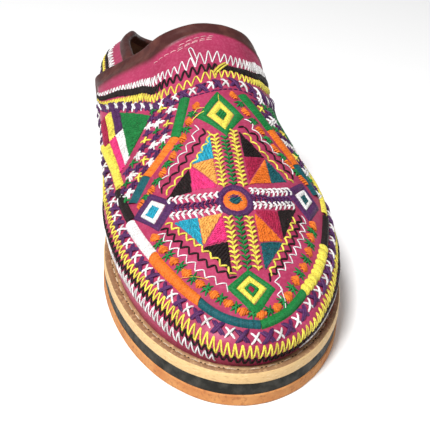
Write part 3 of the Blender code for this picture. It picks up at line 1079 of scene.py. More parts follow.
def stitched_line(colour, chart, a, b, row, lift):
    """One line of filling stitches, which start at a different place in each row."""
    length = Track((a, b)).length_on(chart)
    if length < 1.4 * FILL_STITCH:
        lay(colour, chart, (jitter(a, 0.08), jitter(b, 0.08)), FILL_WIDTH, lift, steps=3, dip=0.25)
        return
    cuts = [0.0]
    at = FILL_STITCH * (0.35 + 0.37 * (row % 3))
    while at < length - 0.5:
        cuts.append(at / length)
        at += FILL_STITCH
    cuts.append(1.0)
    for low, high in zip(cuts, cuts[1:]):
        ends = (jitter(toward(a, b, low), 0.05), jitter(toward(a, b, high), 0.05))
        lay(colour, chart, ends, FILL_WIDTH, lift, steps=3, dip=0.12)


def satin_fill(colour, chart, corners, slant, lift=0.12):
    """Rows of filling stitches across a straight-edged shape, at an angle in degrees."""
    corners = np.array(corners, float)
    turn = math.radians(slant)
    along = np.array((math.cos(turn), math.sin(turn)))
    across = left_of(along)
    middle = corners.mean(axis=0)
    spread = Track((middle - across, middle + across)).length_on(chart) / 2
    pitch = FILL_PITCH / max(spread, 0.6)
    reach = corners @ across
    at = reach.min() + pitch / 2
    row = 0
    while at < reach.max():
        row += 1
        cuts = []
        for a, b in zip(corners, np.roll(corners, -1, axis=0)):
            ra, rb = a @ across - at, b @ across - at
            if ra * rb < 0:
                cuts.append(a + (b - a) * ra / (ra - rb))
        cuts.sort(key=lambda p: p @ along)
        for a, b in zip(cuts[::2], cuts[1::2]):
            if np.linalg.norm(b - a) > 0.4:
                stitched_line(colour, chart, a, b, row, lift)
        at += pitch


def frame_of(colour, chart, outer, inner, lift):
    """Satin frame between two shapes of as many corners."""
    count = len(outer)
    for k in range(count):
        n = (k + 1) % count
        satin_between(colour, chart, (outer[k], outer[n]), (inner[k], inner[n]), lift)


def circle(centre, radius, count=12):
    turns = [2 * math.pi * k / count for k in range(count)]
    return [(centre[0] + radius * math.cos(turn), centre[1] + radius * math.sin(turn)) for turn in turns]


def zigzag(colour, chart, table, pitches, width, lean=0.0):
    """Zigzag row. table: along, low edge, high edge. pitches: along, then the pitch."""
    at = table[0][0]
    up = False
    before = None
    while at <= table[-1][0]:
        place = jitter((at + (lean if up else 0.0), between(table, at, 2 if up else 1)), 0.10)
        if before is not None:
            lay(colour, chart, (before, place), width, 0.25)
        before = place
        up = not up
        at += between(pitches, at) / 2


def wave(colour, chart, path, pitch, swing, width):
    """Wavy line of short stitches along a straight-sided path."""
    track = Track(path)
    count = max(int(track.length / (pitch / 2)), 2)
    before = None
    for k in range(count + 1):
        s = track.length * k / count
        side = left_of(track.direction(s)) * swing * (1 if k % 2 else -1)
        here = jitter(track.at(s) + side, 0.1)
        if before is not None:
            lay(colour, chart, (before, here), width, 0.2, dip=0.15)
        before = here


def cross(colour, chart, centre, half_along, half_up, width, turn=0.0):
    c, s = math.cos(turn), math.sin(turn)
    for sign in (1, -1):
        up = sign * half_up
        arm = (half_along * c - up * s, half_along * s + up * c)
        bar(colour, chart, centre, arm, width, 0.45 + 0.2 * sign)


def cross_row(colours, chart, table, pitches, half_along, half_up, width=0.85):
    """Crosses in turn in each colour. The purple ones are larger and doubled."""
    at = table[0][0]
    k = 0
    while at <= table[-1][0]:
        colour = colours[k % len(colours)]
        heavy = colour == "purple"
        size = 1.22 if heavy else 1.0
        for shift in (-0.45, 0.45) if heavy else (0.0,):
            centre = (at + shift, between(table, at))
            cross(colour, chart, centre, half_along * size, half_up * size, width * size)
        at += between(pitches, at)
        k += 1


def fishbone(colour, chart, path, half_width, pitch, width=0.95, steep=1.3):
    """Braid of short slanted stitches that meet along a middle line."""
    track = Track(path)
    count = max(int(track.length / pitch), 1)
    for k in range(count + 1):
        s = track.length * k / count
        here = track.at(s)
        direction = track.direction(s)
        side = left_of(direction)
        for sign in (1, -1):
            tip = here + side * sign * half_width - direction * steep
            root = here + direction * 0.5 - side * sign * 0.25
            lay(colour, chart, (jitter(tip), jitter(root)), width, 0.45, steps=3)
        bar(colour, chart, here, direction, width * 0.8, 0.55, steps=3)


def running(colour, chart, path, dash, gap, width=0.4):
    track = Track(path)
    s = 0.0
    while s + dash < track.length:
        lay(colour, chart, (track.at(s), track.at(s + dash)), width, 0.1, dip=0.3)
        s += dash + gap


# Threads of a flower: how far along the chain, and half its length
PETALS = ((-1.6, 0.9), (-0.8, 1.7), (0.0, 2.1), (0.8, 1.7), (1.6, 0.9))


def blossoms(chart, places):
    """Chain of small orange flowers, with a green cross of leaves between each two."""
    places = np.array(places, float)
    for k, centre in enumerate(places):
        ahead = places[min(k + 1, len(places) - 1)] - places[max(k - 1, 0)]
        along = ahead / np.linalg.norm(ahead)
        side = left_of(along)
        for shift, reach in PETALS:
            bar("orange", chart, centre + along * shift, side * reach + along * 0.35, 1.0, 0.5)
        if k + 1 == len(places):
            return
        leaf = (centre + places[k + 1]) / 2
        for sign in (1, -1):
            bar("green", chart, leaf, side * 2.7 + along * 1.4 * sign, 0.85, 0.45)
        for shift in (-0.5, 0.5):
            bar("green", chart, leaf + side * shift, along * 2.2, 0.75, 0.4)


# Diamonds: frame colours from outside in, then their corners in the plan
DIAMONDS = (
    (
        ("green", ((2, -8), (12.5, -21), (2, -34.5), (-9.5, -22))),
        ("yellow", ((2, -13.5), (7.5, -21.5), (2, -31), (-4.8, -22))),
        ("green", ((2, -18.5), (4.3, -21.5), (2, -25.5), (-0.8, -22))),
    ),
    (
        ("green", ((0, -99.5), (10, -107), (0, -119.5), (-9.8, -106))),
        ("yellow", ((0, -102), (6.2, -107.2), (0, -114), (-5.8, -106.8))),
        ("green", ((0, -105), (3.1, -107.6), (0, -111), (-2.8, -107.2))),
        ("crimson", ((0, -106.2), (1.5, -107.5), (0, -109.4), (-1.4, -107.3))),
    ),
    (
        ("purple", ((-33, -49), (-23.2, -63), (-31.5, -72), (-40.5, -57.5))),
        ("white", ((-32.3, -54), (-27.6, -60.5), (-33, -67), (-37.6, -59))),
        ("cyan", ((-32.4, -57), (-30, -60.5), (-33, -64), (-35.6, -59.8))),
    ),
    (
        ("purple", ((34, -46), (23.5, -58), (33, -68.5), (40.5, -55.5))),
        ("white", ((34, -50), (28.6, -57), (32.4, -62.5), (37.2, -54.5))),
        ("teal", ((33.8, -53), (31, -57), (32.8, -59.8), (35.2, -55.2))),
    ),
)

# Round hub: colour, outer radius, inner radius and lift of its rings, then what fills it
HUB = (0, -69)
HUB_RINGS = (("purple", 8.0, 5.2, 0.5), ("orange", 5.2, 1.7, 0.2))
HUB_FILLS = (
    ("purple", 0.25, ((-3.6, -66.4), (3.4, -66), (4.2, -67.6), (-4, -68))),
    ("teal", 0.35, ((-2.4, -68), (2.4, -67.6), (3, -69.4), (0, -71), (-3, -69.6))),
)

# Satin triangles between the bars: colour, slant of the threads, corners in the plan
TRIANGLES = (
    ("cyan", 65, ((-14.5, -46.5), (-5.5, -46), (-5.2, -33))),
    ("apricot", 20, ((-15, -47), (-5.8, -46.5), (-6, -60.5))),
    ("hotpink", 100, ((-15.5, -47.5), (-16.3, -60), (-6.2, -61.5))),
    ("black", 90, ((-16.3, -48.5), (-27, -58.5), (-16.6, -60.5))),
    ("black", 40, ((8, -31), (8, -45), (17.5, -42))),
    ("crimson", 75, ((8, -45.5), (17.3, -42.5), (7.8, -58))),
    ("orange", 10, ((17.6, -43), (17.8, -56), (7.2, -60.5))),
    ("teal", 70, ((17.8, -42.5), (26, -51.5), (18, -56))),
    ("cyan", 100, ((-25.5, -71.5), (-16.2, -73.5), (-16, -87))),
    ("apricot", 60, ((-16, -74), (-6.4, -74.5), (-15.6, -86.5))),
    ("hotpink", 20, ((-6.4, -75.2), (-6.2, -86.5), (-14.8, -87))),
    ("black", 10, ((-16.2, -87.8), (-6.2, -87.4), (-6.4, -101))),
    ("crimson", 95, ((7.4, -73.2), (17.3, -71), (17.4, -84.5))),
    ("orange", 60, ((7, -74.2), (17.2, -85), (7, -87.5))),
    ("black", 90, ((17.6, -70.5), (27, -65.5), (17.8, -83.5))),
    ("teal", 75, ((7, -88), (17.2, -85.6), (7, -99.5))),
)

# Braided bars: colour, half width, pitch, path in the plan
BARS = (
    ("yellow", 2.2, 2.1, ((-3.3, -34.5), (-3.6, -61))),
    ("green", 2.0, 2.1, ((0.9, -36), (0.6, -61))),
    ("yellow", 2.2, 2.1, ((5.3, -32), (4.7, -61))),
    ("yellow", 2.1, 2.1, ((-4.2, -77.5), (-4.2, -99))),
    ("green", 1.9, 2.1, ((0, -78), (0, -99))),
    ("yellow", 2.1, 2.1, ((4.3, -77.5), (4.2, -99))),
    ("purple", 2.0, 1.9, ((-7.8, -68.8), (-16, -68.2), (-25, -64.8))),
    ("white", 1.9, 2.3, ((-7.6, -65.4), (-15, -64.3), (-26, -60))),
    ("white", 1.9, 2.3, ((-7.6, -72.4), (-15, -72), (-26, -68))),
    ("purple", 2.0, 1.9, ((8.4, -67), (16, -66), (25, -62))),
    ("white", 1.9, 2.3, ((8.2, -63.8), (15, -62.4), (26, -57.2))),
    ("white", 1.9, 2.3, ((8.2, -70.4), (16, -68.6), (26, -64))),
)

# Wavy lines of the large diamond: colour, path in the plan
WAVES = (
    ("yellow", ((-5.2, -31), (-6.5, -36.5), (-14, -46), (-27, -55.5))),
    ("black", ((-6.8, -29.5), (-9, -34), (-19, -45), (-29, -52.8))),
    ("white", ((-9.5, -26), (-12, -33), (-21, -42), (-29.5, -49))),
    ("yellow", ((-28, -69.5), (-22, -80), (-14, -91), (-5.6, -101.5))),
    ("black", ((-30, -71), (-24, -83), (-15.5, -95), (-5.6, -103))),
    ("white", ((-31.5, -72.5), (-26, -85), (-18.5, -97), (-8.6, -107))),
    ("yellow", ((25, -71), (20, -82), (14, -92), (8.4, -101))),
    ("black", ((28.5, -68.5), (22, -83), (15, -95), (7.4, -103.5))),
    ("white", ((30.5, -67.5), (25.5, -82), (18, -94), (11.5, -101), (11, -112))),
    ("yellow", ((10.5, -31), (17, -38.5), (24, -45.5), (29, -50))),
    ("black", ((8.5, -27.5), (15, -30), (23, -39), (30.5, -47))),
    ("white", ((13.5, -21.5), (17, -29), (25, -36), (31.5, -43))),
)

# Pitch, swing and width of thread of the wavy lines
WAVE_STITCHES = {"white": (5.2, 1.3, 0.55), "black": (4.7, 1.15, 0.85), "yellow": (4.5, 1.0, 0.85)}

# Chains of small flowers: their places in the plan
BLOSSOMS = (
    ((-8.6, -15.5), (-12.8, -23), (-16.4, -30.8), (-21.7, -37.6), (-26.4, -43), (-32, -48.5), (-36.6, -52.7)),
    (
        (-33.3, -73.8), (-30.9, -81.5), (-27.6, -89), (-23.7, -96), (-19.2, -102.2), (-14.6, -108),
        (-9.8, -112.6), (-4.8, -116.6), (2, -118), (8.8, -114.8), (14.4, -109.5), (19, -102),
        (24, -94.6), (28.2, -85.6), (31.2, -77), (34, -69.5),
    ),
    ((9.5, -9), (13.6, -17.5), (18.8, -26), (24.4, -33), (30, -38.5), (35.6, -43)),
)

# Raised satin cord: colour, then its two edges in the plan
CORDS = (
    ("green", ((-15, -8.2), (-21.6, -27)), ((-10.2, -9.5), (-17.2, -29.6))),
    ("orange", ((-21.7, -27.2), (-34.8, -37)), ((-17.4, -29.8), (-31.2, -40.8))),
    ("teal", ((-35, -37.3), (-41.8, -47.3)), ((-31.4, -41), (-38, -50.6))),
    ("green", ((16.6, -5), (27.2, -19.8)), ((11.3, -8), (22.2, -23.4))),
    ("orange", ((27.4, -20), (36.4, -32.8)), ((22.4, -23.6), (32, -36.6))),
    ("teal", ((36.5, -33), (42.8, -44.8)), ((32.2, -36.8), (39.2, -48.2))),
)

# The same cord round the edge, on the ribbon: colour, lump, then along, low, high
EDGE_CORDS = (
    ("yellow", 0.0, ((-150, 31, 35), (-112, 31, 35))),
    ("black", 0.0, ((-110, 29.5, 33.8), (-87, 28, 32.6))),
    ("white", 0.0, ((-86, 26.5, 31.6), (-60.5, 25.4, 30.4))),
    ("orange", 0.0, ((-60, 25, 30.2), (-42, 24, 28.8), (-24, 22.5, 27.2))),
    ("teal", 0.0, ((-23.5, 22.3, 26.8), (-12, 19.5, 23.8), (4.6, 16.8, 21))),
    ("green", 0.0, ((5, 16.6, 20.8), (20, 18, 22.2), (33, 20.3, 24.4))),
    ("yellow", 3.8, ((33.6, 20.4, 24.6), (50, 21, 25.4), (69, 22, 26.6))),
    ("black", 0.0, ((69.6, 22, 26.6), (92, 24, 28.4))),
    ("yellow", 0.0, ((94, 25, 29), (132, 28, 32))),
)

# Rows round the edge, on the ribbon: along, then height or the low edge and the high edge
EDGE_CROSSES = (
    (-196, 31), (-150, 30), (-128, 28.5), (-105, 27), (-95, 25.5), (-85, 24.3), (-75, 23.3),
    (-65, 22.4), (-55, 21.9), (-45, 21.3), (-35, 20.3), (-25, 19.2), (-18, 18.2), (-8, 15.6),
    (2, 13.6), (12, 13.3), (22, 15.3), (32, 17.6), (44, 18.2), (56, 18.6), (75, 19.4), (95, 21),
    (120, 24), (160, 27), (196, 28),
)
EDGE_CROSS_PITCH = ((0, 4.95),)
EDGE_YELLOW = (
    (-196, 23.5, 27.5), (-150, 23, 26.8), (-125, 22.5, 26), (-105, 21.6, 25.2), (-95, 20.4, 24.2),
    (-85, 18.6, 22.6), (-75, 17.0, 21.2), (-65, 15.9, 20.2), (-50, 14.8, 20.2), (-35, 12.6, 19.0),
    (-25, 9.8, 16.9), (-10, 4.9, 12.7),
    (0, 3.9, 11.8), (10, 3.5, 11.2), (20, 4.2, 11.6), (30, 5.9, 13.0), (45, 9.4, 15.6), (60, 12.2, 17.0),
    (90, 15.0, 19.0), (130, 18.5, 22.5), (196, 20.5, 24.5),
)
EDGE_BLACK = (
    (-196, 19, 23), (-130, 18.4, 22.2), (-90, 15.6, 19.6), (-75, 14, 18.2), (-60, 13.4, 17.6),
    (-45, 12.2, 16.6),
    (-30, 9.2, 13.8), (-20, 6, 10.8), (-10, 2.6, 7.2), (0, 0.8, 5.6), (10, 0.8, 5.2), (20, 1.6, 6.0),
    (30, 3.6, 8.4), (45, 6.8, 11.4), (60, 9.4, 13.6), (90, 11.6, 15.8), (130, 14.4, 18.8), (196, 16.4, 20.6),
)
EDGE_WHITE = (
    (-196, 11.5, 18.5), (-130, 11, 17.6), (-90, 10.6, 16.8), (-75, 9.6, 15.8), (-60, 8.4, 15),
    (-45, 7.0, 13.6),
    (-30, 3.6, 10.8), (-20, 1.6, 7.8), (-12, 0.6, 5.0),
)
EDGE_WHITE_OUTER = (
    (24, 0.3, 3.2), (34, 0.8, 5.4), (45, 2.0, 7.6), (60, 4.2, 9.8), (90, 6.0, 12.2), (130, 8.6, 15),
    (196, 10, 17),
)
EDGE_PITCH = ((-196, 3.4), (-100, 3.4), (-60, 3.2), (-30, 3.0), (0, 2.6), (20, 2.6), (60, 3.2), (196, 3.4))

# Rows along the collar: along, depth of the far edge, depth of the near edge
COLLAR_WHITE = (
    (-78, 19.6, 16.6), (-66, 20.4, 17.2), (-60, 21.0, 17.6), (-50, 22.2, 18.8), (-41, 23.4, 19.2),
    (-33, 23.4, 18.4), (-25, 23.8, 18.9), (-20, 25.4, 20.9), (-16, 26.6, 20.9), (-12, 26.2, 19.6),
    (-7, 25.2, 18.9), (-3, 25.0, 17.2), (2, 23.8, 16.4), (7, 22.6, 16.2), (11, 22.6, 17),
    (16, 22.8, 16.8), (20, 21.8, 16.2), (25, 20.2, 15.2), (32, 18, 13), (45, 19, 14),
    (76, 19.4, 15.2),
)
COLLAR_BLACK = (
    (-78, 22.4, 19.4), (-62, 23.0, 19.9), (-54, 24.0, 20.3), (-45, 25.8, 21.9), (-33, 27.1, 22.7),
    (-23, 28.9, 23.4), (-19, 30.1, 25.2), (-14, 31.4, 25.2), (-8, 30.8, 24.1), (-4, 30.2, 23.6),
    (0, 29.2, 23.4), (5, 27.8, 22.9), (11, 27.0, 22.7), (15, 26.4, 22.5), (19, 25.4, 21.3),
    (27, 22.2, 18.9), (37, 19.8, 16.5), (50, 20.7, 17.4), (76, 22.2, 19.2),
)
COLLAR_YELLOW = (
    (-78, 25.9, 22.8), (-66, 26.3, 23.2), (-61, 26.7, 23.6), (-46, 29.1, 24.8), (-34, 31.1, 26.3),
    (-26, 32.3, 27.5), (-22, 34.5, 28.8), (-18, 36.6, 31), (-12, 36.6, 31.4), (-8, 36, 30.4),
    (-4, 35, 28.9), (1, 33.6, 27), (4, 32.8, 26.6), (9, 31.8, 25.7),
    (13, 30.4, 25.1), (17, 29.8, 24.7), (20, 28.8, 23.7), (27, 25.2, 21.7), (34, 22.6, 19.3),
    (50, 23.6, 20.6), (76, 25, 22),
)
COLLAR_LEAN = 0.7
COLLAR_WHITE_PITCH = (
    (-70, 2.2), (-45, 1.9), (-34, 1.7), (-28, 2.8), (-20, 3.4), (-10, 4.4), (3, 5.2), (9, 3.6),
    (14, 2.7), (20, 2.3), (28, 1.8), (45, 2.1),
)
COLLAR_BLACK_PITCH = (
    (-70, 1.0), (-34, 1.0), (-29, 2.6), (-20, 3.6), (0, 4.4), (6, 3.6), (10, 1.3), (70, 1.2),
)
COLLAR_YELLOW_PITCH = (
    (-70, 1.9), (-36, 1.8), (-28, 3.2), (-20, 4.0), (0, 4.5), (10, 3.2), (20, 2.7), (30, 1.8),
    (70, 1.6),
)
COLLAR_CROSSES = (
    (-76, 27.2), (-60, 27.6), (-57, 28), (-51, 29.2), (-45, 31), (-39, 32.6), (-29, 33.8), (-22, 36.6),
    (-19, 38.4), (-15, 39.3), (-10, 39.1), (-6, 38.6), (-1, 37.4), (6, 36), (11, 34), (16, 32.8),
    (23, 30.8), (30, 28), (45, 27), (74, 28.4),
)
COLLAR_CROSS_PITCH = ((-76, 3.0), (-30, 3.3), (-20, 4.2), (0, 4.7), (74, 4.7))
COLLAR_LINE = ((-26, 41), (-15, 42.2), (-5, 42), (5, 40.2), (14, 37.2), (22, 34.4), (34, 31.6))
COLLAR_RUNNING = (
    ((-28, 13.2), (-15, 13.6), (-8, 12.2), (2, 10.2), (6, 9.6)),
    ((-13, 14.2), (-6, 12.2), (0, 11.4), (7, 10.6)),
    ((-12, 11.6), (-4, 9.8), (4, 8.8), (9, 8.4)),
)

# Flat satin pieces on the flanks: colour, slant, corners along and up
FLANK_SHAPES = (
    ("white", 70, ((-23, 51), (1, 54.6), (1, 58.2), (-19, 54))),
    ("purple", 70, ((1.6, 54.8), (20, 59), (20, 62), (1.6, 58.3))),
    ("hotpink", 70, ((-25, 48.4), (1, 51.4), (1, 54.4), (-23, 50.8))),
    ("yellow", 70, ((1.6, 51.6), (20, 55.6), (20, 58.8), (1.6, 54.6))),
    ("yellow", 70, ((-34, 44.4), (1, 47.8), (1, 51.2), (-34, 47.4))),
    ("crimson", 70, ((1.6, 48), (22, 52), (21, 55.4), (1.6, 51.4))),
)
# Green triangles of the two flanks, in the plan
GREEN_FLANKS = (
    ((-39, 13.6), (-27, -4.6), (-38.4, -19.6)),
    ((37, 17), (27.5, -2), (38.5, -17)),
)
# Mixed crosses between the flank and the cord, in the plan
MIXED_PITCH = 3.9
MIXED_ROWS = (
    ((-17.6, -7.5), (-24.6, -28.6), (-37.4, -38), (-43.6, -47)),
    ((-21.6, -4.5), (-28.6, -25.8), (-40, -34), (-44.6, -42)),
    ((-25.4, -3), (-32.4, -21.5), (-41.5, -30)),
    ((19.2, -4.6), (30.2, -21), (38.6, -33), (44, -43.5)),
    ((23, -1.6), (34.2, -18.4), (42, -31)),
)
MIXED_COLOURS = ("purple", "white", "purple", "yellow", "purple", "white", "green")

# Rows round the counter: colour, depth of the near edge and the far edge below the rim, pitch
HEEL_ZIGZAGS = (
    ("white", 7.4, 11.2, 3.8),
    ("black", 10.8, 13.6, 1.8),
    ("yellow", 14.0, 16.8, 3.2),
    ("black", 16.6, 20.4, 1.8),
    ("yellow", 32.5, 37.0, 2.6),
    ("black", 36.5, 41.0, 2.2),
    ("white", 41.0, 47.5, 2.6),
)
# How far all of them reach to both sides of the back
HEEL_ENDS = (-100, 100)
HEEL_CROSS_PITCH = 3.6
HEEL_CROSS_DEPTH = 24.0
HEEL_CROSS_COLOURS = ("white", "purple", "green", "purple")
# Raised cord round the counter: its colours, their pitch and length, depths of its edges
HEEL_CORD = ("orange", "white", "teal", "orange", "green", "orange", "white", "teal")
HEEL_CORD_PITCH = 25
HEEL_CORD_LENGTH = 24.6
HEEL_CORD_DEPTHS = (27.6, 31.6)

# Thread ends across the motifs: colour, chart, width, lift, steps, path
LOOSE_THREADS = (
    ("yellow", "plan", 0.35, 0.8, 4, ((1.8, -17), (1.6, -12), (2.6, -8.5))),
    ("yellow", "plan", 0.4, 0.9, 4, ((-3.5, -19), (-8, -21), (-12.5, -24))),
    ("yellow", "plan", 0.3, 0.9, 4, ((-3.5, -18), (-8, -17.5), (-11.5, -21))),
    ("white", "collar", 0.5, 0.6, 14, ((-5.4, 24), (-7.6, 15.4), (-6.6, 14.6), (-5.6, 15.6), (-4, 22))),
    ("white", "plan", 0.35, 0.6, 6, ((11.5, -104), (12.5, -112), (11.5, -119))),
    ("apricot", "plan", 0.35, 0.7, 6, ((-27, -97), (-21, -99), (-15.5, -101.5))),
    ("white", "ribbon", 0.5, 0.8, 4, ((-103, 33), (-99, 30), (-97, 31))),
    ("yellow", "collar", 1.1, 0.5, 4, ((3, 30), (8, 25), (12.5, 21))),
    ("yellow", "collar", 1.0, 0.5, 4, ((4, 31), (9, 26), (13.5, 21.5))),
)

# Running stitches in the groove of the welt, in mm
LEDGE_STITCH = 4.6
LEDGE_STEP = 7.4
# Half length of each black mark painted as the shade inside the stitch holes
LEDGE_HOLE_SHADE = 0.4


def embroider_front(chart):
    for layers in DIAMONDS:
        for (colour, outer), (_, inner) in zip(layers, layers[1:]):
            frame_of(colour, chart.plan, outer, inner, 0.35)
        satin_fill(layers[-1][0], chart.plan, layers[-1][1], 30, 0.1)
    for colour, outer, inner, lift in HUB_RINGS:
        frame_of(colour, chart.plan, circle(HUB, outer), circle(HUB, inner), lift)
    for colour, lift, corners in HUB_FILLS:
        satin_fill(colour, chart.plan, corners, 4, lift)
    for colour, slant, corners in TRIANGLES:
        satin_fill(colour, chart.plan, corners, slant)
    for colour, half_width, pitch, path in BARS:
        fishbone(colour, chart.plan, path, half_width, pitch)
    for colour, path in WAVES:
        wave(colour, chart.plan, path, *WAVE_STITCHES[colour])
    for places in BLOSSOMS:
        blossoms(chart.plan, places)
    for colour, first, second in CORDS:
        satin_between(colour, chart.plan, first, second, lift=0.8)


def embroider_edge(chart):
    for colour, lump, rows in EDGE_CORDS:
        low = [(row[0], row[1]) for row in rows]
        high = [(row[0], row[2]) for row in rows]
        satin_between(colour, chart.ribbon, low, high, lift=1.0, lump=lump)
    cross_row(("white", "purple"), chart.ribbon, EDGE_CROSSES, EDGE_CROSS_PITCH, 2.1, 2.4, 0.95)
    for colour, rows, width in (
        ("black", EDGE_BLACK, 0.82),
        ("yellow", EDGE_YELLOW, 0.74),
        ("white", EDGE_WHITE, 0.68),
        ("white", EDGE_WHITE_OUTER, 0.68),
    ):
        zigzag(colour, chart.ribbon, rows, EDGE_PITCH, width)


def embroider_collar(chart):
    for colour, rows, pitches, width in (
        ("white", COLLAR_WHITE, COLLAR_WHITE_PITCH, 0.62),
        ("black", COLLAR_BLACK, COLLAR_BLACK_PITCH, 0.95),
        ("yellow", COLLAR_YELLOW, COLLAR_YELLOW_PITCH, 0.72),
    ):
        zigzag(colour, chart.collar, rows, pitches, width, COLLAR_LEAN)
    cross_row(("white", "purple"), chart.collar, COLLAR_CROSSES, COLLAR_CROSS_PITCH, 1.9, 2.3, 1.1)
    running("purple", chart.collar, COLLAR_LINE, 2.6, 0.2, 0.6)
    for path in COLLAR_RUNNING:
        running("rose", chart.collar, path, 3.0, 0.8)


def embroider_flanks(chart):
    for flank in (chart.inner, chart.outer):
        for colour, slant, corners in FLANK_SHAPES:
            satin_fill(colour, flank, corners, slant, lift=0.3)
    for corners in GREEN_FLANKS:
        satin_fill("green", chart.plan, corners, 25, lift=0.3)
    for r, path in enumerate(MIXED_ROWS):
        track = Track(path)
        count = int(track.length_on(chart.plan) / MIXED_PITCH)
        for k in range(count):
            place = track.share((k + 0.5 * (r % 2) + 0.25) / count)
            colour = MIXED_COLOURS[(k + 3 * r) % len(MIXED_COLOURS)]
            heavy = colour in ("purple", "white")
            for shift in (-0.4, 0.4) if heavy else (0.0,):
                centre = (place[0] + shift, place[1])
                cross(colour, chart.plan, centre, 1.7, 2.0, 1.0, turn=0.35)


def embroider_heel(chart):
    for colour, near, far, pitch in HEEL_ZIGZAGS:
        rows = [(end, far, near) for end in HEEL_ENDS]
        zigzag(colour, chart.heel, rows, ((0, pitch),), 0.75)
    rows = [(end, HEEL_CROSS_DEPTH) for end in HEEL_ENDS]
    cross_row(HEEL_CROSS_COLOURS, chart.heel, rows, ((0, HEEL_CROSS_PITCH),), 1.8, 2.2)
    for k, colour in enumerate(HEEL_CORD):
        start = HEEL_ENDS[0] + HEEL_CORD_PITCH * k
        end = start + HEEL_CORD_LENGTH
        edges = [((start, depth), (end, depth)) for depth in HEEL_CORD_DEPTHS]
        satin_between(colour, chart.heel, *edges, 0.7)


def sew_ledge():
    """Running stitches in the groove of the welt, with a short black mark at each end, painted as the shade
    inside the stitch holes.
    """
    ring = outline(GROOVE_INSET + GROOVE_WIDTH / 2, 300)
    ring = np.array(ring + ring[:1])
    arc = arc_lengths(ring) / MM

    def groove(along, _):
        x, y = np.interp(along, arc, ring[:, 0]), np.interp(along, arc, ring[:, 1])
        return Vector((x, y, WELT_TOP - GROOVE_DEPTH)), Vector((0, 0, 1))

    at = 0.0
    while at < arc[-1] - 6:
        lay("linen", groove, ((at, 0), (at + LEDGE_STITCH, 0)), 0.42, 0.22, dip=0.6)
        # Black marks at both ends, painted as the shade inside the stitch holes
        for end in (at - 0.5, at + LEDGE_STITCH + 0.5):
            hole_shade = ((end - LEDGE_HOLE_SHADE, 0), (end + LEDGE_HOLE_SHADE, 0))
            lay("black", groove, hole_shade, 0.55, 0.02, dip=0.2, steps=3)
        at += LEDGE_STEP


def loose_threads(chart):
    charts = {"plan": chart.plan, "collar": chart.collar, "ribbon": chart.ribbon}
    for colour, name, width, lift, steps, path in LOOSE_THREADS:
        lay(colour, charts[name], path, width, lift, steps=steps)


def thread_mesh(name, stitches):
    """All stitches of one colour as one mesh of open half tubes."""
    points, faces, shades, uvs = [], [], [], []
    start = 0
    sides = len(PROFILE)
    for path, normals, half, shade in stitches:
        tangent = unit_rows(np.gradient(path, axis=0))
        normal = unit_rows(normals - tangent * np.sum(normals * tangent, axis=1, keepdims=True))
        side = np.cross(tangent, normal)
        arc = arc_lengths(path) / MM
        rings = len(path)
        for r in range(rings):
            taper = END_TAPER if r in (0, rings - 1) else 1.0
            for k, angle in enumerate(PROFILE):
                offset = side[r] * math.cos(angle) + normal[r] * FLATNESS * math.sin(angle)
                points.append(path[r] + offset * half * taper)
                shades.append(shade)
                uvs.append((arc[r], k * TWIST_STEP))
        for r in range(rings - 1):
            for k in range(sides - 1):
                a = start + r * sides + k
                faces.append((a, a + sides, a + sides + 1, a + 1))
        start += rings * sides
    mesh = mesh_from(name, points, faces)
    set_attribute(mesh, "shade", shades)
    layer = mesh.uv_layers.new(name="twist")
    loops = np.zeros(len(mesh.loops), int)
    mesh.loops.foreach_get("vertex_index", loops)
    layer.data.foreach_set("uv", np.array(uvs, np.float32)[loops].ravel())
    return mesh


def make_threads():
    for name, stitches in threads.items():
        if stitches:
            mesh = thread_mesh("thread_" + name, stitches)
            add_piece("thread_" + name, mesh, [thread_material(name, THREADS[name])])


# Stage

KEY_AT = Vector((-0.45, -0.55, 1.1))
KEY_TARGET = Vector((0, 0, 0.03))
KEY_SIZE = 0.40
KEY_POWER = 21
WORLD_STRENGTH = 0.38
FLOOR_SIDE = 6.0


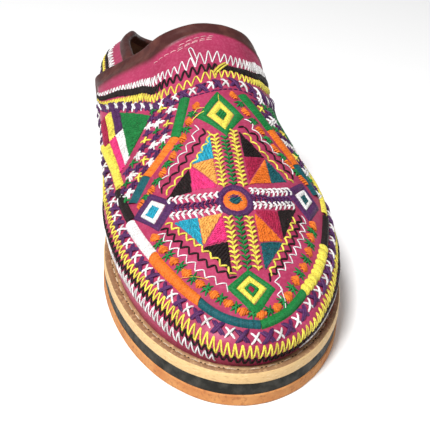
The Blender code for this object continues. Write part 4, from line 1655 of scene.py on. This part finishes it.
def make_camera():
    data = bpy.data.cameras.new("camera")
    data.sensor_width = SENSOR_MM
    data.lens = FOCAL_PIXELS / IMAGE_SIZE * data.sensor_width
    right = CAMERA_RIGHT.normalized()
    forward = CAMERA_UP.cross(right).normalized()
    up = right.cross(forward)
    aim = forward + right * (AIM_RIGHT_PIXELS / FOCAL_PIXELS) - up * (AIM_DOWN_PIXELS / FOCAL_PIXELS)
    turn = forward.rotation_difference(aim.normalized())
    right, up, forward = turn @ right, turn @ up, turn @ forward
    camera = put_in_scene("camera", data)
    axes = Matrix((right, up, -forward)).transposed().to_4x4()
    camera.matrix_world = Matrix.Translation(CAMERA_AT) @ axes
    bpy.context.scene.camera = camera


def make_key_light():
    data = bpy.data.lights.new("key", "AREA")
    data.shape = "DISK"
    data.size = KEY_SIZE
    data.energy = KEY_POWER
    light = put_in_scene("key", data)
    light.location = KEY_AT
    light.rotation_mode = "QUATERNION"
    light.rotation_quaternion = (KEY_TARGET - KEY_AT).to_track_quat("-Z", "Y")


def make_stage():
    side = FLOOR_SIDE
    corners = [(-side, -side, 0), (side, -side, 0), (side, side, 0), (-side, side, 0)]
    mesh = mesh_from("floor", corners, [(0, 1, 2, 3)], smooth=False)
    mesh.materials.append(floor_material())
    floor = put_in_scene("floor", mesh)
    world = bpy.data.worlds.new("studio")
    world.use_nodes = True
    background = world.node_tree.nodes["Background"]
    background.inputs["Color"].default_value = (1.0, 1.0, 1.0, 1.0)
    background.inputs["Strength"].default_value = WORLD_STRENGTH
    bpy.context.scene.world = world
    bpy.context.scene.view_settings.view_transform = "Standard"
    make_key_light()


def main():
    materials = {
        "pink": pink_leather(),
        "lining": lining_leather(),
        "tan": tan_leather(),
        "crepe": crepe(),
        "rubber": black_rubber(),
    }
    make_sole(materials)
    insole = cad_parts["insole"]
    for slot in insole.material_slots:
        slot.material = materials["lining"]
    upper = [materials["pink"], materials["lining"]]
    chart = Charts(make_vamp(upper), make_counter(upper))
    embroider_front(chart)
    embroider_edge(chart)
    embroider_collar(chart)
    embroider_flanks(chart)
    embroider_heel(chart)
    sew_ledge()
    loose_threads(chart)
    make_threads()
    make_stage()
    make_camera()


main()
